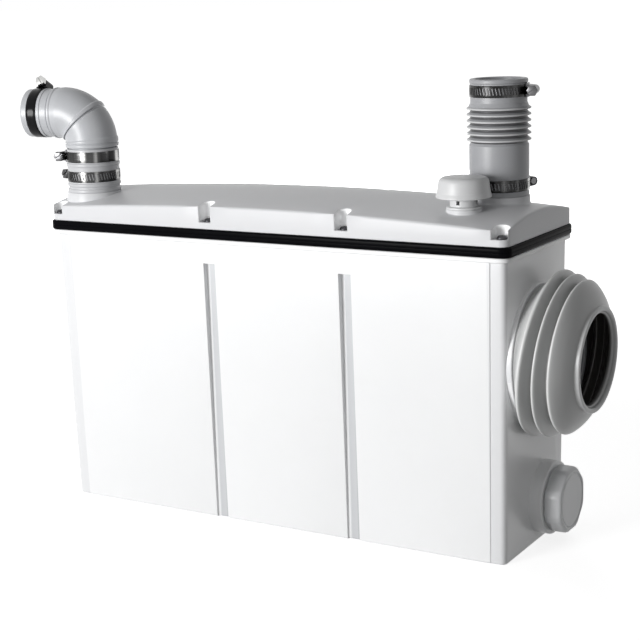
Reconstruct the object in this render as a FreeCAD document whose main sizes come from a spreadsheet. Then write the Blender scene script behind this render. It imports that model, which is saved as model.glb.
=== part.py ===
import FreeCAD, Part
import math
import os
import re

import Sketcher

# Macerating sewage lifting station: a slim tank that stands beside a toilet, grinds what
# comes in and pumps it away. Millimetres, +Z up. The origin is the centre of the tank's
# underside, X runs along the tank towards the toilet inlet and -Y is the front.

doc = FreeCAD.newDocument("LiftingStation")
sheet = doc.addObject("Spreadsheet::Sheet", "Sizes")
vector = FreeCAD.Vector
rotation = FreeCAD.Rotation

# Driving dimensions
SIZES = {
    # tank
    "tank_length": 466, "tank_width": 134, "tank_height": 261, "tank_draft": 3.4,
    "tank_wall": 3.5, "tank_floor": 4, "tank_corner": 5, "flange_height": 4,
    "flange_overhang": 4, "flange_corner": 8, "strip_width": 13, "strip_step": 0.8,
    "left_groove_x": -57.8, "right_groove_x": 83, "groove_width": 12, "groove_depth": 5.5,
    "groove_drop": 19,
    "cut_over": 1, "join_over": 1, "boss_root": 2, "low_boss_root": 3, "bore_reach": 25,
    # lid, its seal and its screws
    "seal_height": 9, "seal_proud": 1, "seal_band": 12, "seal_round": 3,
    "lid_wall": 2.8, "lid_inset": 0.6, "lid_rise": 30.5, "lid_long_radius": 3364,
    "lid_cross_radius": 267, "lid_edge_round": 2,
    "screw_seat": 6, "screw_edge_x": 8, "screw_edge_y": 8, "corner_flute": 6.6,
    "middle_flute": 6, "screw_shank": 2, "screw_hole_play": 0.4, "screw_length": 30,
    "screw_head": 4.5, "screw_head_height": 3.2, "boss_depth": 26, "boss_side": 14,
    "flute_over": 5, "lid_boss_deep": 16,
    # toilet inlet
    "inlet_z": 171, "inlet_boss": 62, "inlet_boss_out": 3, "collar_bore": 47,
    "collar_wall": 3, "collar_out": 20, "bellows_wall": 3.2, "bellows_lip": 39,
    "bellows_land": 6, "bellows_foot": 60, "fold_root": 57, "fold_crest": 67,
    "fold_pitch": 13, "fold_first": 6, "fold_count": 3, "nose_radius": 45.5,
    "nose_at": 52, "bellows_length": 54, "retainer_wall": 2.4, "retainer_length": 26,
    "retainer_lip": 2.5, "fold_lean": 1, "collar_gap": 1,
    # low side inlet with its screw cap
    "low_y": 18, "low_z": 38, "low_boss": 32.5, "low_boss_out": 9, "low_spigot": 24,
    "low_bore": 20, "low_spigot_length": 11, "low_cap": 29.5, "low_cap_flats": 30.6,
    "low_cap_gap": 0.5, "low_cap_end": 3, "low_cap_play": 0.4, "low_cap_bevel": 2.5,
    "low_cap_dish": 0.6, "low_washer": 2,
    # top inlet sleeve
    "sleeve_inset": 42.4, "sleeve_y": 18, "sleeve_bore": 22.9, "sleeve_wall": 2.6,
    "sleeve_sink": 0.5, "sleeve_fold_lift": 47, "sleeve_fold_pitch": 5.3,
    "sleeve_fold_count": 6, "sleeve_fold_crest": 27.6, "sleeve_fold_root": 25,
    "sleeve_height": 99, "cuff_radius": 24.2, "cuff_bore": 20, "cuff_length": 19,
    "stub_bore": 19.8, "stub_length": 26, "stub_collar": 26.2,
    "sleeve_fold_ease": 2, "cuff_ease": 3,
    # vent
    "vent_inset": 51, "vent_from_front": 32, "vent_sink": 5.5, "vent_base": 14.7,
    "vent_base_height": 2, "vent_neck": 11.7, "vent_neck_height": 12, "vent_bore": 8,
    "vent_slot_width": 3, "vent_slot_height": 3.5, "vent_slot_z": 2, "vent_cap_radius": 23.5,
    "vent_cap_crown": 17, "vent_cap_skirt": 6, "vent_cap_height": 18.5, "vent_cap_wall": 2.2,
    "vent_cap_play": 0.08, "vent_cap_socket": 6, "filter_height": 8,
    "vent_cap_lean": 1.2, "vent_cap_shoulder": 8.4, "vent_cap_brow": 2,
    "vent_cap_brow_drop": 2.4, "vent_cap_crown_drop": 0.6,
    # discharge: riser, coupling sleeve and elbow
    "riser_inset": 24, "riser_from_front": 32, "riser_bore": 12, "riser_wall": 3, "riser_bend": 40,
    "riser_head": 22, "riser_head_height": 18, "riser_collar": 27, "riser_sink": 5.5,
    "coupler_wall": 2.4, "coupler_height": 41, "coupler_bead": 0.8, "coupler_bead_height": 2.4,
    "elbow_radius": 24.3, "elbow_wall": 3.2, "elbow_bend": 27, "elbow_rise": 33,
    "elbow_turn": 12, "elbow_tail": 20, "elbow_tail_play": 0.06, "elbow_bead": 1,
    "elbow_bead_height": 2.6, "branch_radius": 22.8, "branch_length": 63,
    "branch_bore": 16, "branch_land": 20, "branch_lip": 0.6, "branch_ring_one": 33,
    "branch_ring_two": 45, "branch_ring_width": 2,
    "coupler_bead_one": 1.7, "coupler_bead_two": 7, "coupler_bead_three": 26,
    "elbow_gap": 1, "elbow_bead_low": 1.5, "elbow_bead_drop": 0.5,
    # hose clamps
    "clamp_band": 0.7, "clamp_width": 10, "clamp_house_long": 15, "clamp_house_deep": 9,
    "clamp_house_over": 1, "worm_radius": 3, "worm_play": 0.06, "worm_head": 5,
    "worm_head_height": 5, "worm_neck": 1, "low_clamp_lift": 10, "mid_clamp_lift": 28.6,
    "branch_clamp_at": 46.5, "sleeve_low_clamp_lift": 4.5, "cuff_clamp_drop": 15,
    "worm_out": 0.5, "riser_clamp_angle": 165, "elbow_clamp_angle": 195,
    "outlet_clamp_angle": 25, "sleeve_clamp_angle": 60, "cuff_clamp_angle": 15,
    # motor
    "motor_x": 10, "motor_radius": 50, "motor_can_wall": 2, "motor_can_height": 127,
    "motor_cap_height": 12, "stator_bore": 27, "stator_height": 60, "stator_lift": 27,
    "winding_inner": 30, "winding_outer": 45, "winding_height": 18, "air_gap": 0.5,
    "shaft_radius": 6, "bearing_radius": 14, "bearing_height": 9, "bearing_play": 0.05,
    "shaft_foot": 26, "seal_radius": 12, "motor_cap_top": 42, "shaft_gap": 1,
    # pump and macerator
    "pump_radius": 52, "pump_plate": 5, "pump_eye": 18, "pump_roof": 8, "chamber_height": 27,
    "impeller_radius": 36, "impeller_disc": 3, "impeller_hub": 10, "impeller_gap": 3,
    "vane_count": 5, "vane_thick": 3, "basket_height": 54, "basket_wall": 2.5,
    "basket_floor": 3, "basket_slot": 5, "basket_slot_foot": 10, "basket_slot_height": 34,
    "basket_slot_step": 15, "basket_mouth": 60, "blade_length": 84, "blade_width": 14,
    "blade_thick": 3, "blade_z": 40, "nut_radius": 9, "nut_height": 8,
    "basket_open_angle": 45, "vane_root": 2, "vane_gap": 1,
    # non-return valve
    "valve_x": -80, "valve_length": 50, "valve_radius": 23.5, "valve_wall": 2.5,
    "flap_radius": 14, "flap_thick": 2.5, "flap_pivot": 16.5, "flap_ear": 6,
    "pin_radius": 1.5, "pin_play": 0.05, "pin_length": 32, "flap_gap": 0.4,
    "flap_lean": 1.2, "flap_ear_wall": 1.3,
    # level sensing and electrics
    "bell_shift": 4, "bell_back": 3, "bell_radius": 16, "bell_wall": 3, "bell_notch": 14,
    "bell_notch_width": 12, "bell_spigot": 7, "bell_spigot_bore": 4, "box_left_gap": 9,
    "box_motor_gap": 28, "box_riser_gap": 6, "box_back_gap": 15, "box_lid_gap": 3,
    "box_height": 108, "box_wall": 2,
    "switch_gap": 7, "switch_height": 24, "switch_wall": 3, "diaphragm_z": 8,
    "diaphragm_thick": 1.5, "plunger_disc": 12, "plunger_disc_thick": 2, "plunger_stem": 3,
    "plunger_proud": 8, "plunger_play": 0.1, "spring_radius": 6, "spring_wire": 0.6,
    "spring_turns": 3.5, "micro_gap": 2.6, "micro_long": 28, "micro_wide": 11,
    "micro_tall": 16, "bracket_thick": 2,
    "capacitor_inset": 24, "capacitor_back": 22, "capacitor_radius": 17.5,
    "capacitor_height": 70, "clip_height": 12, "clip_wall": 1.5, "clip_lift": 24,
    "terminal_inset": 24, "terminal_long": 36, "terminal_wide": 18, "terminal_tall": 15,
    "gland_drop": 46, "gland_radius": 8, "gland_bore": 4, "gland_boss": 13,
    "gland_insert": 13, "gland_body_bore": 4.6,
    "gland_boss_out": 2, "gland_hex": 11, "gland_hex_height": 4, "gland_thread": 10,
    "gland_inside": 17, "gland_reach": 10, "gland_nut_gap": 1,
    "gland_nut": 10.5, "gland_nut_height": 9,
}

# Places and sizes that follow from the driving ones
DERIVED = {
    "groove_top": "tank_height - groove_drop",
    "lid_crown_z": "tank_height + flange_height + seal_height + lid_rise",
    "sleeve_x": "tank_length / 2 - sleeve_inset",
    "sleeve_seat": "lid_crown_z - sleeve_sink",
    "sleeve_top": "sleeve_seat + sleeve_height",
    "vent_x": "tank_length / 2 - vent_inset",
    "vent_y": "-tank_width / 2 + vent_from_front",
    "vent_seat": "lid_crown_z - vent_sink",
    "riser_x": "-tank_length / 2 + riser_inset",
    "riser_y": "-tank_width / 2 + riser_from_front",
    "riser_seat": "lid_crown_z - riser_sink",
    "coupler_top": "riser_seat + coupler_height",
    "elbow_z": "coupler_top + elbow_rise",
    "low_clamp_z": "riser_seat + low_clamp_lift",
    "mid_clamp_z": "riser_seat + mid_clamp_lift",
    "sleeve_low_clamp_z": "sleeve_seat + sleeve_low_clamp_lift",
    "sleeve_top_clamp_z": "sleeve_top - cuff_clamp_drop",
    "box_left": "-tank_length / 2 + box_left_gap",
    "box_right": "motor_x - motor_radius - box_motor_gap",
    "box_front": "riser_y + riser_bore + riser_wall + box_riser_gap",
    "box_back": "tank_width / 2 - box_back_gap",
    "box_top": "tank_height - box_lid_gap",
    "box_foot": "box_top - box_height",
    "capacitor_x": "box_right - capacitor_inset",
    "capacitor_y": "box_back - capacitor_back",
    "terminal_x": "box_left + terminal_inset",
    "bell_x": "(terminal_x + capacitor_x) / 2 - bell_shift",
    "bell_y": "(box_front + box_back) / 2 + bell_back",
    "switch_radius": "(box_back - box_front) / 2 - switch_gap",
    "gland_y": "bell_y",
    "gland_z": "tank_height - gland_drop",
}
NAMES = list(SIZES) + list(DERIVED)
for row, alias in enumerate(NAMES, start=1):
    sheet.set("A%d" % row, alias)
    sheet.setAlias("B%d" % row, alias)
for row, alias in enumerate(NAMES, start=1):
    sheet.set("B%d" % row, "=" + DERIVED[alias] if alias in DERIVED else str(SIZES[alias]))
doc.recompute()


def bound(formula):
    """The formula with each size's name pointing at its cell."""
    return re.sub(r"[a-z_]+", lambda word: "Sizes." + word[0] if word[0] in NAMES else word[0],
                  str(formula))


def value(formula):
    """The number that a formula gives now, for placements that turn a piece."""
    return float(sheet.evalExpression(bound(formula)))


def bind(thing, **formulas):
    for prop, formula in formulas.items():
        thing.setExpression(prop, bound(formula))
    return thing


TURNS = {
    "z": rotation(),
    "x": rotation(vector(0, 1, 0), 90),
    "-x": rotation(vector(0, 1, 0), -90),
    "y": rotation(vector(1, 0, 0), -90),
}


def settle(thing, x=0, y=0, z=0, along="z"):
    """Put a piece's own Z along an axis and bind its place to the sizes."""
    thing.Placement = FreeCAD.Placement(vector(), TURNS[along])
    for axis, formula in (("x", x), ("y", y), ("z", z)):
        thing.setExpression("Placement.Base." + axis, bound(formula))
    return thing


def box(name, long, wide, tall, x=0, y=0, z=0):
    """A block whose middle stands over x, y and whose underside is at z."""
    thing = bind(doc.addObject("Part::Box", name), Length=long, Width=wide, Height=tall)
    return settle(thing, "(%s) - (%s) / 2" % (x, long), "(%s) - (%s) / 2" % (y, wide), z)


def rod(name, radius, height, x=0, y=0, z=0, along="z"):
    thing = bind(doc.addObject("Part::Cylinder", name), Radius=radius, Height=height)
    return settle(thing, x, y, z, along)


def hexagon(name, radius, height, x=0, y=0, z=0, along="z"):
    thing = doc.addObject("Part::Prism", name)
    thing.Polygon = 6
    bind(thing, Circumradius=radius, Height=height)
    return settle(thing, x, y, z, along)


def fuse(name, *pieces):
    thing = doc.addObject("Part::MultiFuse", name)
    thing.Shapes = list(pieces)
    return thing


def cut(name, base, *tools):
    thing = doc.addObject("Part::Cut", name)
    thing.Base = base
    thing.Tool = tools[0] if len(tools) == 1 else fuse(name + "_tools", *tools)
    return thing


def common(name, *pieces):
    thing = doc.addObject("Part::MultiCommon", name)
    thing.Shapes = list(pieces)
    return thing


def plane(body, role):
    return [part for part in body.Origin.OriginFeatures if part.Role == role][0]


def sketch_on(body, role, name):
    sketch = body.newObject("Sketcher::SketchObject", name)
    sketch.AttachmentSupport = [(plane(body, role), "")]
    sketch.MapMode = "FlatFace"
    return sketch


def turned(name, profile, x=0, y=0, z=0, along="z"):
    """A body of revolution: profile is the closed section as (radius, height) formulas."""
    body = doc.addObject("PartDesign::Body", name)
    sketch = sketch_on(body, "XZ_Plane", name + "_section")
    spots = [vector(value(radius), value(height), 0) for radius, height in profile]
    for index, spot in enumerate(spots):
        sketch.addGeometry(Part.LineSegment(spot, spots[(index + 1) % len(spots)]), False)
    for index, (radius, height) in enumerate(profile):
        after = (index - 1) % len(profile)
        sketch.addConstraint(Sketcher.Constraint("Coincident", after, 2, index, 1))
        for kind, formula, size, axis in (("DistanceX", radius, spots[index].x, -2),
                                          ("DistanceY", height, spots[index].y, -1)):
            if abs(size) < 1e-9:
                sketch.addConstraint(Sketcher.Constraint("PointOnObject", index, 1, axis))
                continue
            number = sketch.addConstraint(
                Sketcher.Constraint(kind, -1, 1, index, 1, size))
            sketch.setExpression("Constraints[%d]" % number, bound(formula))
    turn = body.newObject("PartDesign::Revolution", name + "_turn")
    turn.Profile = sketch
    turn.ReferenceAxis = (sketch, ["V_Axis"])
    turn.Angle = 360
    sketch.Visibility = False
    return settle(body, x, y, z, along)


def ring(name, outer, inner, height, x=0, y=0, z=0, along="z"):
    profile = [(inner, 0), (outer, 0), (outer, height), (inner, height)]
    return turned(name, profile, x, y, z, along)


def rounded_sketch(body, name, long, wide, corner):
    """A rectangle round the origin with rounded corners, each size bound to its formula."""
    sketch = sketch_on(body, "XY_Plane", name)
    half_x = value(long) / 2
    half_y = value(wide) / 2
    radius = value(corner)
    signs = [(1, 1), (-1, 1), (-1, -1), (1, -1)]
    for index, (sx, sy) in enumerate(signs):
        centre = vector(sx * (half_x - radius), sy * (half_y - radius), 0)
        start = math.radians(90 * index)
        circle = Part.Circle(centre, vector(0, 0, 1), radius)
        sketch.addGeometry(Part.ArcOfCircle(circle, start, start + math.pi / 2), False)
    for index, (sx, sy) in enumerate(signs):
        begin = sketch.getPoint(index, 2)
        end = sketch.getPoint((index + 1) % 4, 1)
        sketch.addGeometry(Part.LineSegment(begin, end), False)
    for index in range(4):
        line = index + 4
        sketch.addConstraint(Sketcher.Constraint("Tangent", index, 2, line, 1))
        sketch.addConstraint(Sketcher.Constraint("Tangent", line, 2, (index + 1) % 4, 1))
        sketch.addConstraint(
            Sketcher.Constraint("Horizontal" if index % 2 == 0 else "Vertical", line))
    for index in range(1, 4):
        sketch.addConstraint(Sketcher.Constraint("Equal", 0, index))
    sketch.addConstraint(Sketcher.Constraint("Symmetric", 0, 3, 2, 3, -1, 1))
    sizes = ((Sketcher.Constraint("Radius", 0, radius), corner),
             (Sketcher.Constraint("DistanceX", 1, 2, 0, 1, 2 * half_x), long),
             (Sketcher.Constraint("DistanceY", 2, 2, 1, 1, 2 * half_y), wide))
    for constraint, formula in sizes:
        number = sketch.addConstraint(constraint)
        sketch.setExpression("Constraints[%d]" % number, bound(formula))
    sketch.Visibility = False
    return sketch


def slab(name, long, wide, corner, height, z=0, taper=None):
    """A pad with rounded corners, wider towards the top where a taper is given."""
    body = doc.addObject("PartDesign::Body", name)
    sketch = rounded_sketch(body, name + "_outline", long, wide, corner)
    pad = body.newObject("PartDesign::Pad", name + "_pad")
    pad.Profile = sketch
    bind(pad, Length=height)
    if taper:
        bind(pad, TaperAngle=taper)
    return settle(body, z=z)


nodes = []


def node(name, thing, placement=None):
    """Name a finished sub-part, and set it where it sits if it was made elsewhere."""
    thing.Label = name
    if placement:
        thing.Placement = placement
    nodes.append(thing)
    return thing


# Heights and places that several pieces share
TANK_TOP = "(tank_height + flange_height)"
LID_FOOT = "(tank_height + flange_height + seal_height)"
FLANGE_LONG = "(tank_length + 2 * flange_overhang)"
FLANGE_WIDE = "(tank_width + 2 * flange_overhang)"
LID_LONG = "(tank_length + 2 * flange_overhang - 2 * lid_inset)"
LID_WIDE = "(tank_width + 2 * flange_overhang - 2 * lid_inset)"
SCREW_X = "(tank_length / 2 + flange_overhang - screw_edge_x)"
SCREW_Y = "(tank_width / 2 + flange_overhang - screw_edge_y)"
SEAT_Z = "(tank_height + flange_height + seal_height + screw_seat)"
SCREW_SPOTS = [(x, y) for y in ("-" + SCREW_Y, SCREW_Y)
               for x in ("-" + SCREW_X, "left_groove_x", "right_groove_x", SCREW_X)]
FACE_X = "(tank_length / 2)"
INLET_X = "(tank_length / 2 + inlet_boss_out)"
LOW_X = "(tank_length / 2 + low_boss_out)"
BODY_TAPER = "atan(tank_draft / tank_height)"


def screw_columns(name, radius, height, z, flutes=False):
    """Upright rods at the lid's screws, or its flutes, which are open to front and back."""
    pieces = []
    for index, (x, y) in enumerate(SCREW_SPOTS):
        corner = index % 4 in (0, 3)
        size = radius if not flutes else ("corner_flute" if corner else "middle_flute")
        if flutes:
            size = "(%s + %s)" % (size, radius)
        pieces.append(rod("%s_%d" % (name, index), size, height, x, y, z))
        if flutes:
            out = -1 if index < 4 else 1
            deep = "(screw_edge_y + flute_over)"
            pieces.append(box("%s_way_%d" % (name, index), "2 * " + size, deep, height, x,
                              "%s + %d * %s / 2" % (y, out, deep), z))
    return fuse(name, *pieces)


# Tank: one moulded shell with drafted walls, a flange, two grooves on each long side,
# bosses for the lid's screws and flat bosses where the inlets and the gland sit
def tank_wedge(name, less_long, less_wide, corner, height, z):
    long = "tank_length - 2 * tank_draft - 2 * (%s)" % less_long
    wide = "tank_width - 2 * tank_draft - 2 * (%s)" % less_wide
    return slab(name, long, wide, corner, height, z, BODY_TAPER)


def groove_boxes(name, spare, height):
    pieces = []
    for side in (-1, 1):
        for x in ("left_groove_x", "right_groove_x"):
            deep = "(groove_depth + %s)" % spare
            y = "%d * (tank_width / 2 - %s / 2)" % (side, deep)
            pieces.append(box("%s_%d" % (name, len(pieces)), "groove_width + 2 * " + spare,
                              deep, height, x, y, 0))
    return fuse(name, *pieces)


tank_outer = fuse(
    "tank_outer",
    tank_wedge("tank_long", 0, "strip_step", "tank_corner", "tank_height", 0),
    tank_wedge("tank_wide", "strip_width", 0, "strip_step", "tank_height", 0),
    slab("tank_flange", FLANGE_LONG, FLANGE_WIDE, "flange_corner", "flange_height",
         "tank_height"),
    rod("inlet_boss_disc", "inlet_boss", "inlet_boss_out + tank_wall + boss_root",
        z="inlet_z", x=FACE_X + " - tank_wall - boss_root", along="x"),
    rod("low_boss_disc", "low_boss", "low_boss_out + tank_wall + low_boss_root", y="low_y",
        z="low_z", x=FACE_X + " - tank_wall - low_boss_root", along="x"),
    rod("gland_boss_disc", "gland_boss", "gland_boss_out + tank_wall + boss_root",
        y="gland_y", z="gland_z", x="-tank_length / 2 + tank_wall + boss_root", along="-x"),
)
boss_corners = []
for sx in (-1, 1):
    for sy in (-1, 1):
        boss_corners.append(
            box("boss_corner_%d" % len(boss_corners), "2 * boss_side", "2 * boss_side",
                "boss_depth", "%d * tank_length / 2" % sx, "%d * tank_width / 2" % sy,
                TANK_TOP + " - boss_depth"))
tank_room = cut(
    "tank_room",
    tank_wedge("tank_inner", "tank_wall", "tank_wall", "tank_corner",
               TANK_TOP, "tank_floor"),
    groove_boxes("groove_ribs", "tank_wall", TANK_TOP + " + tank_floor + cut_over"),
    *boss_corners,
)
tank_shell = cut("tank_shell", tank_outer, tank_room,
                 groove_boxes("grooves", "0", "groove_top"))
tank_spigots = fuse(
    "tank_spigots", tank_shell,
    rod("collar_tube", "collar_bore + collar_wall", "collar_out + tank_wall", z="inlet_z",
        x=INLET_X + " - tank_wall", along="x"),
    rod("low_tube", "low_spigot", "low_spigot_length + tank_wall", y="low_y", z="low_z",
        x=LOW_X + " - tank_wall", along="x"),
)
node("tank", cut(
    "tank", tank_spigots,
    rod("collar_hole", "collar_bore", "bore_reach + inlet_boss_out + collar_out + cut_over",
        z="inlet_z", x=FACE_X + " - bore_reach", along="x"),
    rod("low_hole", "low_bore", "bore_reach + low_boss_out + low_spigot_length + cut_over",
        y="low_y", z="low_z", x=FACE_X + " - bore_reach", along="x"),
    rod("gland_hole", "gland_radius", "gland_reach + gland_boss_out + cut_over", y="gland_y",
        z="gland_z", x="-tank_length / 2 + gland_reach", along="-x"),
    screw_columns("pilot_holes", "screw_shank", "screw_length", SEAT_Z + " - screw_length"),
))

# Seal between tank and lid: a ring of rubber, rounded outside
def rounded_slab(name, long, wide, corner, height, z, radius):
    """A slab whose upper and lower rims are rounded."""
    body = slab(name, long, wide, corner, height, z)
    doc.recompute()
    pad = body.Tip
    rims = ["Edge%d" % number for number, edge in enumerate(pad.Shape.Edges, start=1)
            if edge.BoundBox.ZLength < 1e-6]
    fillet = body.newObject("PartDesign::Fillet", name + "_rims")
    fillet.Base = (pad, rims)
    bind(fillet, Radius=radius)
    return body


node("lid_seal", cut(
    "lid_seal",
    rounded_slab("seal_outer", FLANGE_LONG + " + 2 * seal_proud",
                 FLANGE_WIDE + " + 2 * seal_proud", "flange_corner + seal_proud",
                 "seal_height", TANK_TOP, "seal_round"),
    slab("seal_room", FLANGE_LONG + " - 2 * seal_band", FLANGE_WIDE + " - 2 * seal_band",
         "tank_corner", "seal_height + 2 * cut_over", TANK_TOP + " - cut_over"),
    screw_columns("seal_holes", "screw_shank + screw_hole_play",
                  "seal_height + 2 * cut_over", TANK_TOP + " - cut_over"),
))


# Lid: a shell crowned along and across, flutes for its screws, and bosses for what it carries
def crown(name, less):
    """A ring so large that its outside is the lid's crown, lower by less."""
    thing = bind(doc.addObject("Part::Torus", name),
                 Radius1="lid_long_radius - lid_cross_radius",
                 Radius2="lid_cross_radius - " + less)
    return settle(thing, z="lid_crown_z - lid_long_radius", along="y")


def soften(name, base, radius, wanted):
    """The base with each edge that is wanted rounded."""
    doc.recompute()
    thing = doc.addObject("Part::Fillet", name)
    thing.Base = base
    thing.Edges = [(number, value(radius), value(radius))
                   for number, edge in enumerate(base.Shape.Edges, start=1) if wanted(edge)]
    return thing


LID_ROOM = "(lid_rise + cut_over)"
lid_block = common("lid_block",
                   slab("lid_plan", LID_LONG, LID_WIDE, "flange_corner", LID_ROOM, LID_FOOT),
                   crown("lid_crown", "0"))
lid_room = common("lid_room",
                  slab("lid_room_plan", LID_LONG + " - 2 * lid_wall",
                       LID_WIDE + " - 2 * lid_wall", "flange_corner - lid_wall",
                       LID_ROOM + " + cut_over", LID_FOOT + " - cut_over"),
                  crown("lid_ceiling", "lid_wall"))
lid_hollow = cut("lid_hollow", lid_room,
                 screw_columns("flute_walls", "lid_wall", LID_ROOM + " + 4 * cut_over",
                               LID_FOOT + " - 2 * cut_over", flutes=True))
lid_softened = soften("lid_softened", lid_block, "lid_edge_round",
                      lambda edge: edge.BoundBox.ZMin > value(LID_FOOT + " + cut_over"))
lid_shell = cut("lid_shell", lid_softened, lid_hollow,
                screw_columns("flutes", "0", LID_ROOM, SEAT_Z, flutes=True))
BOSS_FOOT = "(lid_crown_z - lid_boss_deep)"
lid_bosses = fuse(
    "lid_bosses", lid_shell,
    rod("sleeve_collar", "stub_collar", "sleeve_seat - " + BOSS_FOOT, "sleeve_x",
        "sleeve_y", BOSS_FOOT),
    rod("sleeve_stub", "sleeve_bore", "sleeve_seat + stub_length - " + BOSS_FOOT,
        "sleeve_x", "sleeve_y", BOSS_FOOT),
    rod("vent_boss", "vent_base", "vent_seat - " + BOSS_FOOT, "vent_x", "vent_y", BOSS_FOOT),
    rod("riser_boss", "riser_collar", "riser_seat - " + BOSS_FOOT, "riser_x", "riser_y",
        BOSS_FOOT),
)
node("lid", cut(
    "lid", lid_bosses,
    rod("stub_hole", "stub_bore", "sleeve_seat + stub_length + cut_over - " + LID_FOOT,
        "sleeve_x", "sleeve_y", LID_FOOT),
    rod("vent_hole", "vent_bore", LID_ROOM, "vent_x", "vent_y", LID_FOOT),
    rod("riser_hole", "riser_bore + riser_wall", LID_ROOM, "riser_x", "riser_y", LID_FOOT),
    screw_columns("lid_holes", "screw_shank + screw_hole_play", "screw_seat + 2 * cut_over",
                  LID_FOOT + " - cut_over"),
))

# Lid screws: eight pan heads that stand in the flutes
node("lid_screws", fuse(
    "lid_screws",
    screw_columns("screw_shanks", "screw_shank", "screw_length", SEAT_Z + " - screw_length"),
    screw_columns("screw_heads", "screw_head", "screw_head_height", SEAT_Z),
))

# Toilet inlet: a rubber bellows over the tank's collar, held by a ring pushed inside
folds = []
for number in range(int(value("fold_count"))):
    crest = "fold_first + %d * fold_pitch" % number
    if number:
        folds.append(("fold_root", crest + " - fold_pitch / 2"))
    folds.append(("fold_crest", crest))
LAST_FOLD = "(fold_first + (fold_count - 1) * fold_pitch)"
node("toilet_bellows", turned(
    "toilet_bellows",
    [("collar_bore + collar_wall", "0"), ("bellows_foot", "0")] + folds + [
        ("nose_radius", "nose_at"), ("nose_radius - bellows_wall", "bellows_length"),
        ("bellows_lip", "bellows_length"), ("bellows_lip", "bellows_length - bellows_land"),
        ("nose_radius - bellows_wall", "nose_at - bellows_land"),
        ("fold_crest - 2 * bellows_wall", LAST_FOLD + " - fold_lean"),
        ("fold_root - bellows_wall", LAST_FOLD + " - fold_pitch / 2"),
        ("collar_bore + collar_wall", "collar_out + collar_gap"),
    ], x=INLET_X, z="inlet_z", along="x"))
node("bellows_retainer", turned(
    "bellows_retainer",
    [("collar_bore - retainer_wall", "0"), ("collar_bore", "0"),
     ("collar_bore", "retainer_length"), ("collar_bore + collar_wall", "retainer_length"),
     ("collar_bore + collar_wall", "retainer_length + retainer_lip"),
     ("collar_bore - retainer_wall", "retainer_length + retainer_lip")],
    x=INLET_X + " + collar_out - retainer_length", z="inlet_z", along="x"))

# Low side inlet: a threaded spigot closed by a screw cap over a flat washer
CAP_FOOT = "(" + LOW_X + " + low_cap_gap)"
CAP_DEPTH = "(low_spigot_length + low_washer - low_cap_gap)"
CAP_TALL = "(low_spigot_length + low_washer - low_cap_gap + low_cap_end)"
cap_shape = turned(
    "low_cap_blank",
    [("0", "0"), ("low_cap", "0"), ("low_cap", CAP_TALL + " - low_cap_bevel"),
     ("low_cap - low_cap_bevel", CAP_TALL), ("low_bore + low_cap_end", CAP_TALL),
     ("low_bore + low_cap_end", CAP_TALL + " - low_cap_dish"),
     ("0", CAP_TALL + " - low_cap_dish")],
    x=CAP_FOOT, y="low_y", z="low_z", along="x")
cap_flats = hexagon("low_cap_flats_prism", "low_cap_flats", CAP_TALL, CAP_FOOT, "low_y",
                    "low_z", "x")
cap_flats.Polygon = 8
node("low_inlet_cap", cut(
    "low_inlet_cap", common("low_cap_grip", cap_shape, cap_flats),
    rod("low_cap_thread", "low_spigot + low_cap_play", CAP_DEPTH, CAP_FOOT, "low_y",
        "low_z", "x")))
node("low_inlet_washer", ring(
    "low_inlet_washer", "low_spigot", "low_bore", "low_washer",
    LOW_X + " + low_spigot_length", "low_y", "low_z", "x"))

# Top inlet: a ribbed rubber sleeve over the lid's stub
sleeve_folds = []
for number in range(int(value("sleeve_fold_count"))):
    foot = "sleeve_fold_lift + %d * sleeve_fold_pitch" % number
    sleeve_folds.append(("sleeve_fold_root", foot))
    sleeve_folds.append(("sleeve_fold_crest", foot + " + sleeve_fold_pitch / 2"))
SLEEVE_FOLD_END = "(sleeve_fold_lift + sleeve_fold_count * sleeve_fold_pitch)"
SLEEVE_TALL = "sleeve_height"
node("top_inlet_sleeve", turned(
    "top_inlet_sleeve",
    [("sleeve_bore", "0"), ("sleeve_bore + sleeve_wall", "0"),
     ("sleeve_bore + sleeve_wall", "sleeve_fold_lift - sleeve_fold_ease")] + sleeve_folds + [
        ("cuff_radius", SLEEVE_FOLD_END), ("cuff_radius", SLEEVE_TALL),
        ("cuff_bore", SLEEVE_TALL), ("cuff_bore", SLEEVE_TALL + " - cuff_length"),
        ("sleeve_bore", SLEEVE_TALL + " - cuff_length - cuff_ease")],
    x="sleeve_x", y="sleeve_y", z="sleeve_seat"))

# Vent: a slotted neck, a charcoal disc in its bore and a mushroom cap that lifts off
NECK_FOOT = "(vent_seat + vent_base_height)"
vent_turned = turned(
    "vent_turned",
    [("vent_bore", "0"), ("vent_base", "0"), ("vent_base", "vent_base_height"),
     ("vent_neck", "vent_base_height"),
     ("vent_neck", "vent_base_height + vent_neck_height"),
     ("vent_bore", "vent_base_height + vent_neck_height")],
    x="vent_x", y="vent_y", z="vent_seat")
node("vent_body", cut(
    "vent_body", vent_turned,
    box("vent_slot_long", "4 * vent_neck", "vent_slot_width", "vent_slot_height",
        "vent_x", "vent_y", NECK_FOOT + " + vent_slot_z"),
    box("vent_slot_wide", "vent_slot_width", "4 * vent_neck", "vent_slot_height",
        "vent_x", "vent_y", NECK_FOOT + " + vent_slot_z")))
node("vent_filter", rod("vent_filter", "vent_bore", "filter_height - vent_slot_height",
                        "vent_x", "vent_y",
                        NECK_FOOT + " + vent_slot_z + vent_slot_height"))
SOCKET = "(vent_neck + vent_cap_play)"
INNER_TOP = "(vent_cap_height - vent_cap_wall)"
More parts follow.
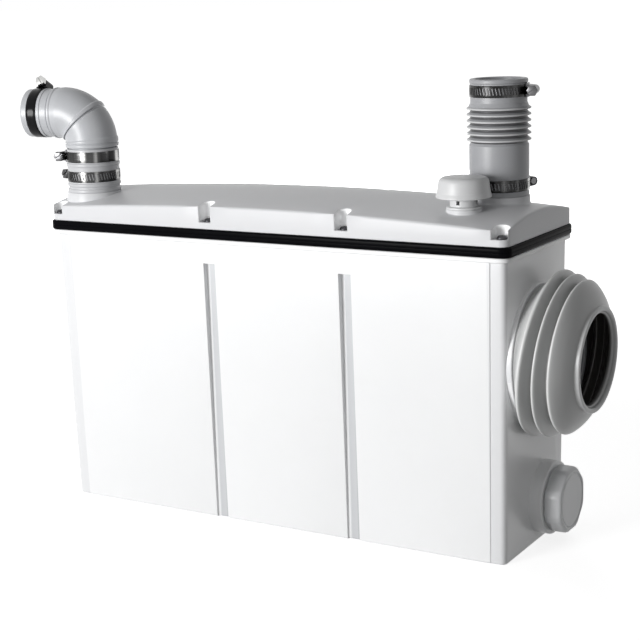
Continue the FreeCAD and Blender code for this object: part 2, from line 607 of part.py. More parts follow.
node("vent_cap", turned(
    "vent_cap",
    [("vent_cap_radius - vent_cap_wall", "0"), ("vent_cap_radius", "0"),
     ("vent_cap_radius", "vent_cap_skirt / 2"),
     ("vent_cap_radius - vent_cap_lean", "vent_cap_shoulder"),
     ("vent_cap_crown + vent_cap_brow", "vent_cap_height - vent_cap_brow_drop"),
     ("vent_cap_crown", "vent_cap_height - vent_cap_crown_drop"),
     ("vent_cap_crown / 2", "vent_cap_height"), ("0", "vent_cap_height"),
     ("0", INNER_TOP), ("vent_bore", INNER_TOP),
     ("vent_bore", "vent_cap_socket"), (SOCKET, "vent_cap_socket"), (SOCKET, "0"),
     (SOCKET + " + vent_cap_wall", "0"), (SOCKET + " + vent_cap_wall", INNER_TOP),
     ("vent_cap_crown", INNER_TOP), ("vent_cap_radius - vent_cap_wall", "vent_cap_skirt")],
    x="vent_x", y="vent_y",
    z=NECK_FOOT + " + vent_neck_height - vent_cap_socket"))

# Discharge: a riser from the pump through the lid, a rubber coupling and an elbow
PUMP_FLOOR = "(tank_floor + basket_height + pump_plate)"
PUMP_Z = "(tank_floor + basket_height + pump_plate + chamber_height / 2)"
VALVE_END = "(valve_x - valve_length)"
TO_THE_LEFT = rotation(vector(0, 0, -1), vector(-1, 0, 0), vector(0, 1, 0), "XYZ")
OVER_TO_LEFT = rotation(vector(1, 0, 0), vector(0, 0, 1), vector(0, -1, 0), "XYZ")


def quarter(name, bend, radius, turn, x, y, z):
    """A quarter of a torus, turned so that it joins two straight runs."""
    thing = bind(doc.addObject("Part::Torus", name), Radius1=bend, Radius2=radius)
    thing.Angle3 = 90
    settle(thing, x, y, z)
    thing.Placement = FreeCAD.Placement(thing.Placement.Base, turn)
    return thing


def riser_shape(name, radius, top):
    turn_x = "(riser_x + riser_bend)"
    turn_z = PUMP_Z + " + riser_bend"
    return fuse(
        name,
        rod(name + "_run", radius, VALVE_END + " - " + turn_x, VALVE_END, "riser_y",
            PUMP_Z, "-x"),
        quarter(name + "_bend", "riser_bend", radius, TO_THE_LEFT, turn_x, "riser_y", turn_z),
        rod(name + "_rise", radius, "%s - (%s)" % (top, turn_z), "riser_x", "riser_y",
            turn_z))


node("discharge_riser", cut(
    "discharge_riser",
    fuse("riser_outer", riser_shape("riser_wall_tube", "riser_bore + riser_wall", "riser_seat"),
         rod("riser_head_rod", "riser_head", "riser_head_height", "riser_x", "riser_y",
             "riser_seat")),
    riser_shape("riser_way", "riser_bore", "riser_seat + riser_head_height")))

coupler_beads = []
for number, height in enumerate(("coupler_bead_one", "coupler_bead_two", "coupler_bead_three")):
    coupler_beads.append(
        rod("coupler_bead_%d" % number, "riser_head + coupler_wall + coupler_bead",
            "coupler_bead_height", "riser_x", "riser_y",
            "riser_seat + %s - coupler_bead_height / 2" % height))
node("coupling_sleeve", cut(
    "coupling_sleeve",
    fuse("coupler_outer",
         rod("coupler_tube", "riser_head + coupler_wall", "coupler_height",
             "riser_x", "riser_y", "riser_seat"), *coupler_beads),
    rod("coupler_way", "riser_head", "coupler_height + 2 * cut_over", "riser_x", "riser_y",
        "riser_seat - cut_over")))

# The elbow is drawn with its branch along -X and then turned to where it points
ELBOW_FOOT = "(coupler_top + elbow_gap)"
BEND_FOOT = "(elbow_z - elbow_bend)"
TAIL = "(riser_head - elbow_tail_play)"


def elbow_shape(name, radius, branch, reach):
    return fuse(
        name,
        rod(name + "_up", radius, BEND_FOOT + " - " + ELBOW_FOOT, z=ELBOW_FOOT),
        quarter(name + "_bend", "elbow_bend", radius, OVER_TO_LEFT, "-elbow_bend", 0,
                BEND_FOOT),
        rod(name + "_branch", branch, reach + " - elbow_bend", "-elbow_bend", 0,
            "elbow_z", "-x"))


elbow_rings = []
for height in ("coupler_top + elbow_bead_low", "elbow_z - elbow_bend - elbow_bead_drop"):
    elbow_rings.append(rod("elbow_bead_%d" % len(elbow_rings), "elbow_radius + elbow_bead",
                           "elbow_bead_height", z=height))
for where in ("branch_ring_one", "branch_ring_two - branch_ring_width"):
    elbow_rings.append(rod("branch_ring_%d" % len(elbow_rings), "branch_radius + branch_lip",
                           "branch_ring_width", "-(%s)" % where, 0, "elbow_z", "-x"))
seam = bind(doc.addObject("Part::Cylinder", "elbow_seam"),
            Radius="elbow_radius + elbow_bead", Height="elbow_bead_height")
half_bend = value("elbow_bend") * math.sqrt(0.5)
seam.Placement = FreeCAD.Placement(
    vector(half_bend - value("elbow_bend"), 0, value(BEND_FOOT) + half_bend),
    rotation(vector(0, 1, 0), -45))
ELBOW_PLACE = FreeCAD.Placement(vector(value("riser_x"), value("riser_y"), 0),
                                rotation(vector(0, 0, 1), value("elbow_turn")))
elbow_outer = fuse(
    "elbow_outer",
    elbow_shape("elbow_skin", "elbow_radius", "branch_radius", "branch_length"), seam,
    rod("elbow_tail_rod", TAIL, "elbow_tail + join_over", z=ELBOW_FOOT + " - elbow_tail"),
    *elbow_rings)
node("discharge_elbow", cut(
    "discharge_elbow", elbow_outer,
    elbow_shape("elbow_way", "elbow_radius - elbow_wall", "branch_radius - elbow_wall",
                "(branch_length - branch_land)"),
    rod("branch_mouth", "branch_bore", "branch_land + 2 * cut_over",
        "-branch_length - cut_over", 0, "elbow_z", "x"),
    rod("elbow_tail_way", TAIL + " - coupler_wall", "elbow_tail + 2 * cut_over",
        z=ELBOW_FOOT + " - elbow_tail - cut_over")), ELBOW_PLACE)


# Hose clamps: a band, a housing on it and a worm screw that turns in the housing
def hose_clamp(name, radius, place, angle, flip=False):
    """place puts the band's foot and axis; the housing stands at angle round that axis."""
    if flip:
        over = FreeCAD.Placement(vector(0, 0, value("clamp_width")),
                                 rotation(vector(1, 0, 0), 180))
        place = place.multiply(over)
        angle = -angle
    turn = FreeCAD.Placement(vector(), rotation(vector(0, 0, 1), angle))
    place = place.multiply(turn)
    worm_x = "%s + clamp_band + clamp_house_deep / 2 + worm_out" % radius
    worm_z = "clamp_width / 2"
    half = "clamp_house_long / 2"
    node(name + "_band", cut(
        name + "_band", rod(name + "_band_rod", radius + " + clamp_band", "clamp_width"),
        rod(name + "_band_way", radius, "clamp_width + 2 * cut_over", z="-cut_over")), place)
    node(name + "_housing", cut(
        name + "_housing",
        box(name + "_house_box", "clamp_house_deep", "clamp_house_long",
            "clamp_width + 2 * clamp_house_over",
            "%s + clamp_band + clamp_house_deep / 2" % radius, 0, "-clamp_house_over"),
        rod(name + "_band_room", radius + " + clamp_band",
            "clamp_width + 4 * clamp_house_over", z="-2 * clamp_house_over"),
        rod(name + "_worm_way", "worm_radius + worm_play", "clamp_house_long + 2 * cut_over",
            worm_x, "-%s - cut_over" % half, worm_z, "y")), place)
    node(name + "_screw", fuse(
        name + "_screw",
        rod(name + "_worm", "worm_radius", "clamp_house_long + worm_neck", worm_x,
            "-" + half, worm_z, "y"),
        hexagon(name + "_head", "worm_head", "worm_head_height", worm_x,
                half + " + worm_neck", worm_z, "y")), place)


def upright(x, y, z):
    return FreeCAD.Placement(vector(value(x), value(y), value(z)), rotation())


COUPLER_OUT = "(riser_head + coupler_wall)"
branch_axis = FreeCAD.Placement(vector(-value("branch_clamp_at"), 0, value("elbow_z")),
                                TURNS["-x"])
hose_clamp("riser_clamp", COUPLER_OUT, upright("riser_x", "riser_y", "low_clamp_z"),
           value("riser_clamp_angle"))
hose_clamp("elbow_clamp", COUPLER_OUT, upright("riser_x", "riser_y", "mid_clamp_z"),
           value("elbow_clamp_angle"))
hose_clamp("outlet_clamp", "branch_radius", ELBOW_PLACE.multiply(branch_axis),
           value("outlet_clamp_angle"), flip=True)
hose_clamp("sleeve_clamp", "(sleeve_bore + sleeve_wall)",
           upright("sleeve_x", "sleeve_y", "sleeve_low_clamp_z"), value("sleeve_clamp_angle"))
hose_clamp("cuff_clamp", "cuff_radius", upright("sleeve_x", "sleeve_y", "sleeve_top_clamp_z"),
           value("cuff_clamp_angle"), flip=True)

# Pump: a perforated basket on the tank's floor, a suction plate, the volute and its impeller
BASKET_TOP = "(tank_floor + basket_height)"
PUMP_TOP = "(tank_floor + basket_height + pump_plate + chamber_height + pump_roof)"
CHAMBER = "(riser_bore - riser_y)"
INNER_BASKET = "(pump_radius - basket_wall)"
basket_cup = turned(
    "basket_cup",
    [("0", "0"), ("pump_radius", "0"), ("pump_radius", "basket_height"),
     (INNER_BASKET, "basket_height"), (INNER_BASKET, "basket_floor"), ("0", "basket_floor")],
    x="motor_x", z="tank_floor")
basket_mouth = box("basket_mouth_box", "pump_radius", "basket_mouth", "basket_slot_height",
                   "motor_x + pump_radius", 0, "tank_floor + basket_slot_foot")
basket_slots = [basket_mouth]
first_slot = value("basket_open_angle")
slot_step = value("basket_slot_step")
slot_count = int((360 - 2 * first_slot) / slot_step) + 1
for number in range(slot_count):
    angle = 180 + (number - (slot_count - 1) / 2) * slot_step
    slot = bind(doc.addObject("Part::Box", "basket_slot_%d" % number),
                Length="2 * basket_wall + 2 * cut_over", Width="basket_slot", Height="basket_slot_height")
    slot.Placement = FreeCAD.Placement(
        vector(value("motor_x"), 0, value("tank_floor + basket_slot_foot")),
        rotation(vector(0, 0, 1), angle)).multiply(FreeCAD.Placement(
            vector(value(INNER_BASKET) - value("basket_wall"), -value("basket_slot") / 2, 0),
            rotation()))
    basket_slots.append(slot)
node("macerator_basket", cut("macerator_basket", basket_cup, *basket_slots))
node("suction_plate", ring("suction_plate", "pump_radius", "pump_eye", "pump_plate",
                           "motor_x", 0, BASKET_TOP))
node("pump_volute", cut(
    "pump_volute",
    fuse("volute_outer",
         rod("volute_body", "pump_radius", "chamber_height + pump_roof", "motor_x", 0,
             PUMP_FLOOR),
         rod("volute_outlet", "riser_bore + riser_wall", "motor_x - valve_x", "motor_x",
             "riser_y", PUMP_Z, "-x")),
    rod("volute_chamber", CHAMBER, "chamber_height", "motor_x", 0, PUMP_FLOOR),
    rod("volute_plate_room", "pump_radius", "pump_plate", "motor_x", 0, BASKET_TOP),
    rod("volute_seal_hole", "seal_radius", "pump_roof + 2 * cut_over", "motor_x", 0,
        PUMP_TOP + " - pump_roof - cut_over"),
    rod("volute_way", "riser_bore", "motor_x - valve_x + cut_over", "motor_x", "riser_y",
        PUMP_Z, "-x")))

IMPELLER_FOOT = "(" + PUMP_FLOOR + " + impeller_gap)"
IMPELLER_TALL = "(chamber_height - 2 * impeller_gap)"
impeller_parts = [
    rod("impeller_hub_rod", "impeller_hub", IMPELLER_TALL, "motor_x", 0, IMPELLER_FOOT),
    rod("impeller_plate", "impeller_radius", "impeller_disc", "motor_x", 0,
        IMPELLER_FOOT + " + " + IMPELLER_TALL + " - impeller_disc")]
for number in range(int(value("vane_count"))):
    vane = bind(doc.addObject("Part::Box", "vane_%d" % number),
                Length="impeller_radius - impeller_hub + vane_root - vane_gap", Width="vane_thick",
                Height=IMPELLER_TALL)
    vane.Placement = FreeCAD.Placement(
        vector(value("motor_x"), 0, value(IMPELLER_FOOT)),
        rotation(vector(0, 0, 1), 360 * number / value("vane_count"))).multiply(
            FreeCAD.Placement(vector(value("impeller_hub - vane_root"),
                                     -value("vane_thick") / 2, 0), rotation()))
    impeller_parts.append(vane)
node("impeller", cut("impeller", fuse("impeller_blank", *impeller_parts),
                     rod("impeller_bore", "shaft_radius", IMPELLER_TALL + " + 2 * cut_over",
                         "motor_x", 0, IMPELLER_FOOT + " - cut_over")))
node("macerator_blade", cut(
    "macerator_blade",
    box("blade_bar", "blade_length", "blade_width", "blade_thick", "motor_x", 0, "blade_z"),
    rod("blade_bore", "shaft_radius", "blade_thick + 2 * cut_over", "motor_x", 0,
        "blade_z - cut_over")))
node("blade_nut", cut(
    "blade_nut",
    hexagon("blade_nut_hex", "nut_radius", "nut_height", "motor_x", 0,
            "blade_z - nut_height"),
    rod("blade_nut_bore", "shaft_radius", "nut_height + 2 * cut_over", "motor_x", 0,
        "blade_z - nut_height - cut_over")))

# Motor: a sealed can on the volute, with stator, rotor, two bearings and a shaft seal
CAN_TOP = "(" + PUMP_TOP + " + motor_can_height)"
SHAFT_ROOM = "(shaft_radius + bearing_play)"
STATOR_FOOT = "(" + PUMP_TOP + " + stator_lift)"
CAN_INNER = "(motor_radius - motor_can_wall)"
SEAT = "(bearing_radius + motor_can_wall)"
node("motor_can", turned(
    "motor_can",
    [("bearing_radius", "0"), ("motor_radius", "0"), ("motor_radius", "motor_can_height"),
     (CAN_INNER, "motor_can_height"), (CAN_INNER, "motor_can_wall"),
     (SEAT, "motor_can_wall"), (SEAT, "bearing_height + motor_can_wall"),
     ("bearing_radius", "bearing_height + motor_can_wall")],
    x="motor_x", z=PUMP_TOP))
node("motor_cap", turned(
    "motor_cap",
    [("0", "bearing_height + motor_cap_height"),
     ("motor_cap_top", "bearing_height + motor_cap_height"),
     ("motor_radius", "bearing_height + motor_cap_height / 2"),
     ("motor_radius", "bearing_height"), (SEAT, "bearing_height"), (SEAT, "0"),
     ("bearing_radius", "0"), ("bearing_radius", "bearing_height"), ("0", "bearing_height")],
    x="motor_x", z=CAN_TOP + " - bearing_height"))
node("stator_core", ring("stator_core", CAN_INNER, "stator_bore", "stator_height",
                         "motor_x", 0, STATOR_FOOT))
node("stator_windings", fuse(
    "stator_windings",
    ring("winding_low", "winding_outer", "winding_inner", "winding_height", "motor_x", 0,
         STATOR_FOOT + " - winding_height"),
    ring("winding_high", "winding_outer", "winding_inner", "winding_height", "motor_x", 0,
         STATOR_FOOT + " + stator_height")))
node("rotor_core", ring("rotor_core", "stator_bore - air_gap", "shaft_radius",
                        "stator_height", "motor_x", 0, STATOR_FOOT))
node("motor_shaft", rod("motor_shaft", "shaft_radius", CAN_TOP + " - shaft_foot - shaft_gap",
                        "motor_x", 0, "shaft_foot"))
node("shaft_bearings", fuse(
    "shaft_bearings",
    ring("upper_bearing", "bearing_radius", SHAFT_ROOM, "bearing_height", "motor_x", 0,
         CAN_TOP + " - bearing_height"),
    ring("lower_bearing", "bearing_radius", SHAFT_ROOM, "bearing_height", "motor_x", 0,
         PUMP_TOP)))
node("shaft_seal", ring("shaft_seal", "seal_radius", SHAFT_ROOM, "pump_roof", "motor_x", 0,
                        PUMP_TOP + " - pump_roof"))

# Non-return valve: a chamber with a flap that hangs from a pin and swings with the flow
CHAMBER_X = "(valve_x - valve_wall)"
PIVOT_X = "(valve_x - valve_wall - flap_gap - flap_thick - pin_radius + flap_lean)"
PIVOT_Z = "(" + PUMP_Z + " + flap_pivot)"
EAR = "(pin_radius + flap_ear_wall)"
node("valve_body", cut(
    "valve_body",
    rod("valve_case", "valve_radius", "valve_length", "valve_x", "riser_y", PUMP_Z, "-x"),
    rod("valve_chamber", "valve_radius - valve_wall", "valve_length - 2 * valve_wall",
        CHAMBER_X, "riser_y", PUMP_Z, "-x"),
    rod("valve_way", "riser_bore", "valve_length + 2 * cut_over", "valve_x + cut_over",
        "riser_y", PUMP_Z, "-x"),
    rod("valve_pin_hole", "pin_radius", "2 * valve_radius", PIVOT_X,
        "riser_y - valve_radius", PIVOT_Z, "y")))
node("valve_pin", rod("valve_pin", "pin_radius", "pin_length", PIVOT_X,
                      "riser_y - pin_length / 2", PIVOT_Z, "y"))
node("valve_flap", cut(
    "valve_flap",
    fuse("flap_blank",
         rod("flap_disc", "flap_radius", "flap_thick", CHAMBER_X + " - flap_gap",
             "riser_y", PUMP_Z, "-x"),
         box("flap_ear_plate", "flap_thick", "flap_ear", "flap_pivot - flap_radius / 2",
             CHAMBER_X + " - flap_gap - flap_thick / 2", "riser_y",
             PUMP_Z + " + flap_radius / 2"),
         rod("flap_ear_eye", EAR, "flap_ear", PIVOT_X, "riser_y - flap_ear / 2", PIVOT_Z,
             "y")),
    rod("flap_eye_hole", "pin_radius + pin_play", "flap_ear + 2 * cut_over", PIVOT_X,
        "riser_y - flap_ear / 2 - cut_over", PIVOT_Z, "y")))

# Level sensing: an air bell that stands on the floor and carries the dry box and its switch
node("air_bell", cut(
    "air_bell",
    turned("bell_turned",
           [("bell_radius - bell_wall", "0"), ("bell_radius", "0"),
            ("bell_radius", "box_foot - tank_floor"), ("bell_spigot", "box_foot - tank_floor"),
            ("bell_spigot", "box_foot - tank_floor + box_wall + switch_wall"),
            ("bell_spigot_bore", "box_foot - tank_floor + box_wall + switch_wall"),
            ("bell_spigot_bore", "box_foot - tank_floor - bell_wall"),
            ("bell_radius - bell_wall", "box_foot - tank_floor - bell_wall")],
           x="bell_x", y="bell_y", z="tank_floor"),
    box("bell_notches", "3 * bell_radius", "bell_notch_width", "bell_notch", "bell_x",
        "bell_y", "tank_floor")))
BOX_LONG = "(box_right - box_left)"
BOX_WIDE = "(box_back - box_front)"
BOX_X = "((box_right + box_left) / 2)"
BOX_Y = "((box_back + box_front) / 2)"
BOX_FLOOR = "(box_foot + box_wall)"
node("dry_box", cut(
    "dry_box",
    box("dry_box_block", BOX_LONG, BOX_WIDE, "box_top - box_foot", BOX_X, BOX_Y, "box_foot"),
    box("dry_box_room", BOX_LONG + " - 2 * box_wall", BOX_WIDE + " - 2 * box_wall",
        "box_top - box_foot", BOX_X, BOX_Y, BOX_FLOOR),
    rod("dry_box_bell_hole", "bell_spigot", "box_wall + 2 * cut_over", "bell_x", "bell_y",
        "box_foot - cut_over"),
    rod("dry_box_gland_hole", "gland_radius", "box_wall + 2 * cut_over",
        "box_left + box_wall + cut_over", "gland_y", "gland_z", "-x")))
SWITCH_ROOM = "(switch_radius - switch_wall)"
STEM_HOLE = "(plunger_stem + plunger_play)"
SWITCH_TOP = "(box_foot + box_wall + switch_height)"
node("pressure_switch", turned(
    "pressure_switch",
    [("bell_spigot", "0"), ("switch_radius", "0"), ("switch_radius", "switch_height"),
     (STEM_HOLE, "switch_height"), (STEM_HOLE, "switch_height - switch_wall"),
     (SWITCH_ROOM, "switch_height - switch_wall"), (SWITCH_ROOM, "switch_wall"),
     ("bell_spigot", "switch_wall")],
    x="bell_x", y="bell_y", z=BOX_FLOOR))
DIAPHRAGM_TOP = "(" + BOX_FLOOR + " + diaphragm_z + diaphragm_thick)"
node("diaphragm", rod("diaphragm", SWITCH_ROOM, "diaphragm_thick", "bell_x", "bell_y",
                      BOX_FLOOR + " + diaphragm_z"))
STEM_TOP = "(" + SWITCH_TOP + " + plunger_proud)"
node("switch_plunger", fuse(
    "switch_plunger",
    rod("plunger_foot", "plunger_disc", "plunger_disc_thick", "bell_x", "bell_y",
        DIAPHRAGM_TOP),
    rod("plunger_rod", "plunger_stem", STEM_TOP + " - " + DIAPHRAGM_TOP, "bell_x", "bell_y",
        DIAPHRAGM_TOP)))
SPRING_FOOT = "(" + DIAPHRAGM_TOP + " + plunger_disc_thick)"
SPRING_ROOM = "(" + SWITCH_TOP + " - switch_wall - " + SPRING_FOOT + ")"
coil = bind(doc.addObject("Part::Helix", "spring_line"),
            Radius="spring_radius", Height=SPRING_ROOM + " - 2 * spring_wire",
            Pitch="(" + SPRING_ROOM + " - 2 * spring_wire) / spring_turns")
wire_end = bind(doc.addObject("Part::Circle", "spring_section"), Radius="spring_wire")
settle(wire_end, x="spring_radius", along="y")
spring = doc.addObject("Part::Sweep", "plunger_spring")
spring.Sections = [wire_end]
spring.Spine = (coil, ["Edge1"])
spring.Solid = True
spring.Frenet = True
settle(spring, "bell_x", "bell_y", SPRING_FOOT + " + spring_wire")
node("plunger_spring", spring)
MICRO_FOOT = "(" + STEM_TOP + " + micro_gap)"
node("microswitch", fuse(
    "microswitch",
    box("microswitch_case", "micro_long", "micro_wide", "micro_tall", "bell_x", "bell_y",
        MICRO_FOOT),
    box("microswitch_leg", "bracket_thick", "micro_wide",
        MICRO_FOOT + " + micro_tall - " + SWITCH_TOP,
        "bell_x + micro_long / 2 + bracket_thick / 2", "bell_y", SWITCH_TOP)))

# Electrics in the dry box: capacitor with its clip, terminal block and cable gland
node("capacitor", rod("capacitor", "capacitor_radius", "capacitor_height", "capacitor_x",
                      "capacitor_y", BOX_FLOOR))
node("capacitor_clip", cut(
    "capacitor_clip",
    fuse("clip_blank",
         rod("clip_ring", "capacitor_radius + clip_wall", "clip_height", "capacitor_x",
             "capacitor_y", BOX_FLOOR + " + clip_lift"),
         box("clip_foot", "clip_height", "box_back - box_wall - capacitor_y", "clip_height",
             "capacitor_x", "(box_back - box_wall + capacitor_y) / 2",
             BOX_FLOOR + " + clip_lift")),
    rod("clip_way", "capacitor_radius", "clip_height + 2 * cut_over", "capacitor_x",
        "capacitor_y", BOX_FLOOR + " + clip_lift - cut_over")))
node("terminal_block", box("terminal_block", "terminal_wide", "terminal_long",
                           "terminal_tall", "terminal_x", "gland_y", BOX_FLOOR))
GLAND_X = "(-tank_length / 2 - gland_boss_out)"
node("cable_gland", cut(
    "cable_gland",
    fuse("gland_outer",
         rod("gland_stem", "gland_radius", "gland_inside + gland_hex_height + gland_thread",
             GLAND_X + " + gland_inside", "gland_y", "gland_z", "-x"),
         hexagon("gland_flange", "gland_hex", "gland_hex_height", GLAND_X, "gland_y",
                 "gland_z", "-x")),
    rod("gland_way", "gland_bore", "gland_insert + 2 * cut_over",
        GLAND_X + " - gland_hex_height - gland_thread + gland_insert + cut_over", "gland_y",
        "gland_z", "-x"),
    rod("gland_body_way", "gland_body_bore",
        "gland_inside + gland_hex_height + gland_thread - gland_insert + cut_over",
        GLAND_X + " + gland_inside + cut_over", "gland_y", "gland_z", "-x")))
node("gland_nut", cut(
    "gland_nut",
    hexagon("gland_nut_hex", "gland_nut", "gland_nut_height",
            GLAND_X + " - gland_hex_height - gland_nut_gap", "gland_y", "gland_z", "-x"),
    rod("gland_nut_way", "gland_radius", "gland_nut_height + 2 * cut_over",
        GLAND_X + " - gland_hex_height - gland_nut_gap + cut_over", "gland_y", "gland_z",
        "-x")))

# Nothing is written unless every step of the model held and every sub-part is a valid solid
doc.recompute()
for thing in doc.Objects:
    if "Invalid" in thing.State or "Error" in thing.State:
        raise RuntimeError("%s failed: %s" % (thing.Label, thing.State))
for thing in nodes:
    if thing.Shape.isNull() or not thing.Shape.isValid():
        raise RuntimeError("%s has no valid shape" % thing.Label)
os.makedirs("parts", exist_ok=True)
for thing in nodes:
    thing.Shape.exportStep("parts/%s.step" % thing.Label)
print(len(nodes), "sub-parts written")
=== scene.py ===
import math

import bmesh
import bpy
import numpy as np
from mathutils import Matrix, Vector
from mathutils.geometry import delaunay_2d_cdt


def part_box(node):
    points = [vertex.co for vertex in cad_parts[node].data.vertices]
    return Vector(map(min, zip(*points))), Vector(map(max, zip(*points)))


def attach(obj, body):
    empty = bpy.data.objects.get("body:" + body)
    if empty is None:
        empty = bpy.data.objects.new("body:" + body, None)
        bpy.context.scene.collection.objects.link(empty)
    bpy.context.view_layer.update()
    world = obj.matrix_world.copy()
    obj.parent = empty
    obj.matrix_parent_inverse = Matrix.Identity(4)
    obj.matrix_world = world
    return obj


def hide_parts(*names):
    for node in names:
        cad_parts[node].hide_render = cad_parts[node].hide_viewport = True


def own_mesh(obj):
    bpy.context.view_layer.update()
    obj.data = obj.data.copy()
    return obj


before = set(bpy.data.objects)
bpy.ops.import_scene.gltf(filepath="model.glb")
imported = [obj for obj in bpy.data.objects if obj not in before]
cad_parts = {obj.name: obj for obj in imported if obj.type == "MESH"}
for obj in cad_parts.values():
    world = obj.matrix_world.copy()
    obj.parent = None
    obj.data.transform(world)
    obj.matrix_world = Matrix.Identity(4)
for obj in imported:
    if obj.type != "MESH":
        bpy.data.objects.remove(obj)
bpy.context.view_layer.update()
scene = bpy.context.scene


# Camera: a long lens to the front right, a little above the lid and hardly tilted. Its place,
# turn, tilt and roll were solved from the tank's edges.
CAMERA_PLACE = Vector((0.7375, -1.1982, 0.4872))
CAMERA_AZIMUTH = math.radians(31.01)
CAMERA_ELEVATION = math.radians(12.29)
CAMERA_ROLL = math.radians(-1.90)
CAMERA_LENS = 87.2
CAMERA_SENSOR = 36
CAMERA_NEAR = 0.05

to_camera = Vector((math.sin(CAMERA_AZIMUTH) * math.cos(CAMERA_ELEVATION),
                    -math.cos(CAMERA_AZIMUTH) * math.cos(CAMERA_ELEVATION),
                    math.sin(CAMERA_ELEVATION)))
level = Vector((math.cos(CAMERA_AZIMUTH), math.sin(CAMERA_AZIMUTH), 0))
upward = to_camera.cross(level)
camera_right = level * math.cos(CAMERA_ROLL) + upward * math.sin(CAMERA_ROLL)
camera_up = upward * math.cos(CAMERA_ROLL) - level * math.sin(CAMERA_ROLL)
camera = bpy.data.objects.new("camera", bpy.data.cameras.new("camera"))
scene.collection.objects.link(camera)
camera.data.sensor_width = CAMERA_SENSOR
camera.data.lens = CAMERA_LENS
camera.data.clip_start = CAMERA_NEAR
camera.matrix_world = Matrix.Translation(CAMERA_PLACE) @ Matrix(
    (camera_right, camera_up, to_camera)).transposed().to_4x4()
scene.camera = camera
scene.view_settings.view_transform = "Standard"


# Light: a soft box to the left in front, one behind that shows in no reflection, and a dim
# even room. The background is white to the camera and in reflections, and the floor keeps
# the shadow.
KEY_PLACE = Vector((-0.95, -2.5, 0.55))
KEY_AIM = Vector((0.0, 0.0, 0.2))
KEY_SIZE = 1.1
KEY_POWER = 68
BACK_PLACE = Vector((-1.3, 2.2, 0.5))
BACK_SIZE = 1.0
BACK_POWER = 40
ROOM_LIGHT = 0.22
FLOOR_COLOUR = (0.45, 0.45, 0.45, 1)
FLOOR_NEAR = (0.82, 0.82, 0.82, 1)
FLOOR_NEAR_REACH = 0.45
FLOOR_FAR_REACH = 0.9
FLOOR_HALF = 30.0
WHITE = (1, 1, 1, 1)


class Signal:
    """One output of a node tree. Sums on signals add the nodes that work them out."""

    def __init__(self, tree, socket=None):
        self.tree = tree
        self.socket = socket

    def node(self, kind, settings=None, inputs=None, output=0):
        """A new node, its settings made first, then its inputs set or linked."""
        made = self.tree.nodes.new(kind)
        for name, setting in (settings or {}).items():
            if name == "stops":
                first, last = made.color_ramp.elements
                first.position, first.color = setting[0]
                last.position, last.color = setting[-1]
                for position, colour in setting[1:-1]:
                    made.color_ramp.elements.new(position).color = colour
            else:
                setattr(made, name, setting)
        for name, given in (inputs or {}).items():
            if isinstance(given, Signal):
                self.tree.links.new(given.socket, made.inputs[name])
            else:
                made.inputs[name].default_value = given
        if not made.outputs:
            return None
        return Signal(self.tree, made.outputs[output])

    def parts(self, *names):
        """The named outputs of the node that this signal comes from."""
        return [Signal(self.tree, self.socket.node.outputs[name]) for name in names]

    def place(self):
        """The place on the piece, in its Object coordinates."""
        return self.node("ShaderNodeTexCoord", output="Object")

    def maths(self, operation, first, second=0.0):
        """One sum on one or two signals or numbers."""
        return self.node("ShaderNodeMath", {"operation": operation}, {0: first, 1: second})

    def __add__(self, other):
        return self.maths("ADD", self, other)

    def __sub__(self, other):
        return self.maths("SUBTRACT", self, other)

    def __rsub__(self, other):
        return self.maths("SUBTRACT", other, self)

    def __mul__(self, other):
        return self.maths("MULTIPLY", self, other)

    __radd__ = __add__
    __rmul__ = __mul__

    def mixed(self, first, second):
        """first where this signal is 0, second where it is 1; both are colours."""
        return self.node("ShaderNodeMix", {"data_type": "RGBA"},
                         {0: self, 6: first, 7: second}, 2)


def area_lamp(name, place, aim, size, power):
    """A round lamp at a place, turned to a point."""
    lamp = bpy.data.objects.new(name, bpy.data.lights.new(name, "AREA"))
    lamp.data.shape = "DISK"
    lamp.data.size = size
    lamp.data.energy = power
    lamp.matrix_world = Matrix.Translation(place) @ (
        aim - place).to_track_quat("-Z", "Y").to_matrix().to_4x4()
    scene.collection.objects.link(lamp)
    return lamp


area_lamp("key_lamp", KEY_PLACE, KEY_AIM, KEY_SIZE, KEY_POWER)
area_lamp("back_lamp", BACK_PLACE, KEY_AIM, BACK_SIZE, BACK_POWER).visible_glossy = False


def rays(base, *kinds):
    """1 for rays of these kinds and 0 for all others."""
    found = None
    for ray in base.node("ShaderNodeLightPath").parts(*kinds):
        found = ray if found is None else base.maths("MAXIMUM", found, ray)
    return found


world = bpy.data.worlds.new("room")
world.use_nodes = True
scene.world = world
world.node_tree.nodes.clear()
room = Signal(world.node_tree)
white_to = rays(room, "Is Camera Ray", "Is Glossy Ray", "Is Transmission Ray")
strength = white_to * (1 - ROOM_LIGHT) + ROOM_LIGHT
room.node("ShaderNodeOutputWorld", inputs={
    "Surface": room.node("ShaderNodeBackground", inputs={"Color": WHITE,
                                                         "Strength": strength})})

floor_mesh = bpy.data.meshes.new("floor")
floor_mesh.from_pydata([(x, y, 0) for x, y in ((-FLOOR_HALF, -FLOOR_HALF),
                                               (FLOOR_HALF, -FLOOR_HALF),
                                               (FLOOR_HALF, FLOOR_HALF),
                                               (-FLOOR_HALF, FLOOR_HALF))], [], [(0, 1, 2, 3)])
floor = bpy.data.objects.new("floor", floor_mesh)
scene.collection.objects.link(floor)
floor_paint = bpy.data.materials.new("floor_paint")
floor_paint.use_nodes = True
floor_paint.node_tree.nodes.clear()
ground = Signal(floor_paint.node_tree)
matt = ground.node("ShaderNodeBsdfDiffuse", inputs={"Color": FLOOR_COLOUR})
reach = ground.node("ShaderNodeVectorMath", {"operation": "LENGTH"}, {0: ground.place()},
                    "Value")
far = ground.node("ShaderNodeMapRange", {"interpolation_type": "SMOOTHSTEP"}, {
    "Value": reach, "From Min": FLOOR_NEAR_REACH, "From Max": FLOOR_FAR_REACH})
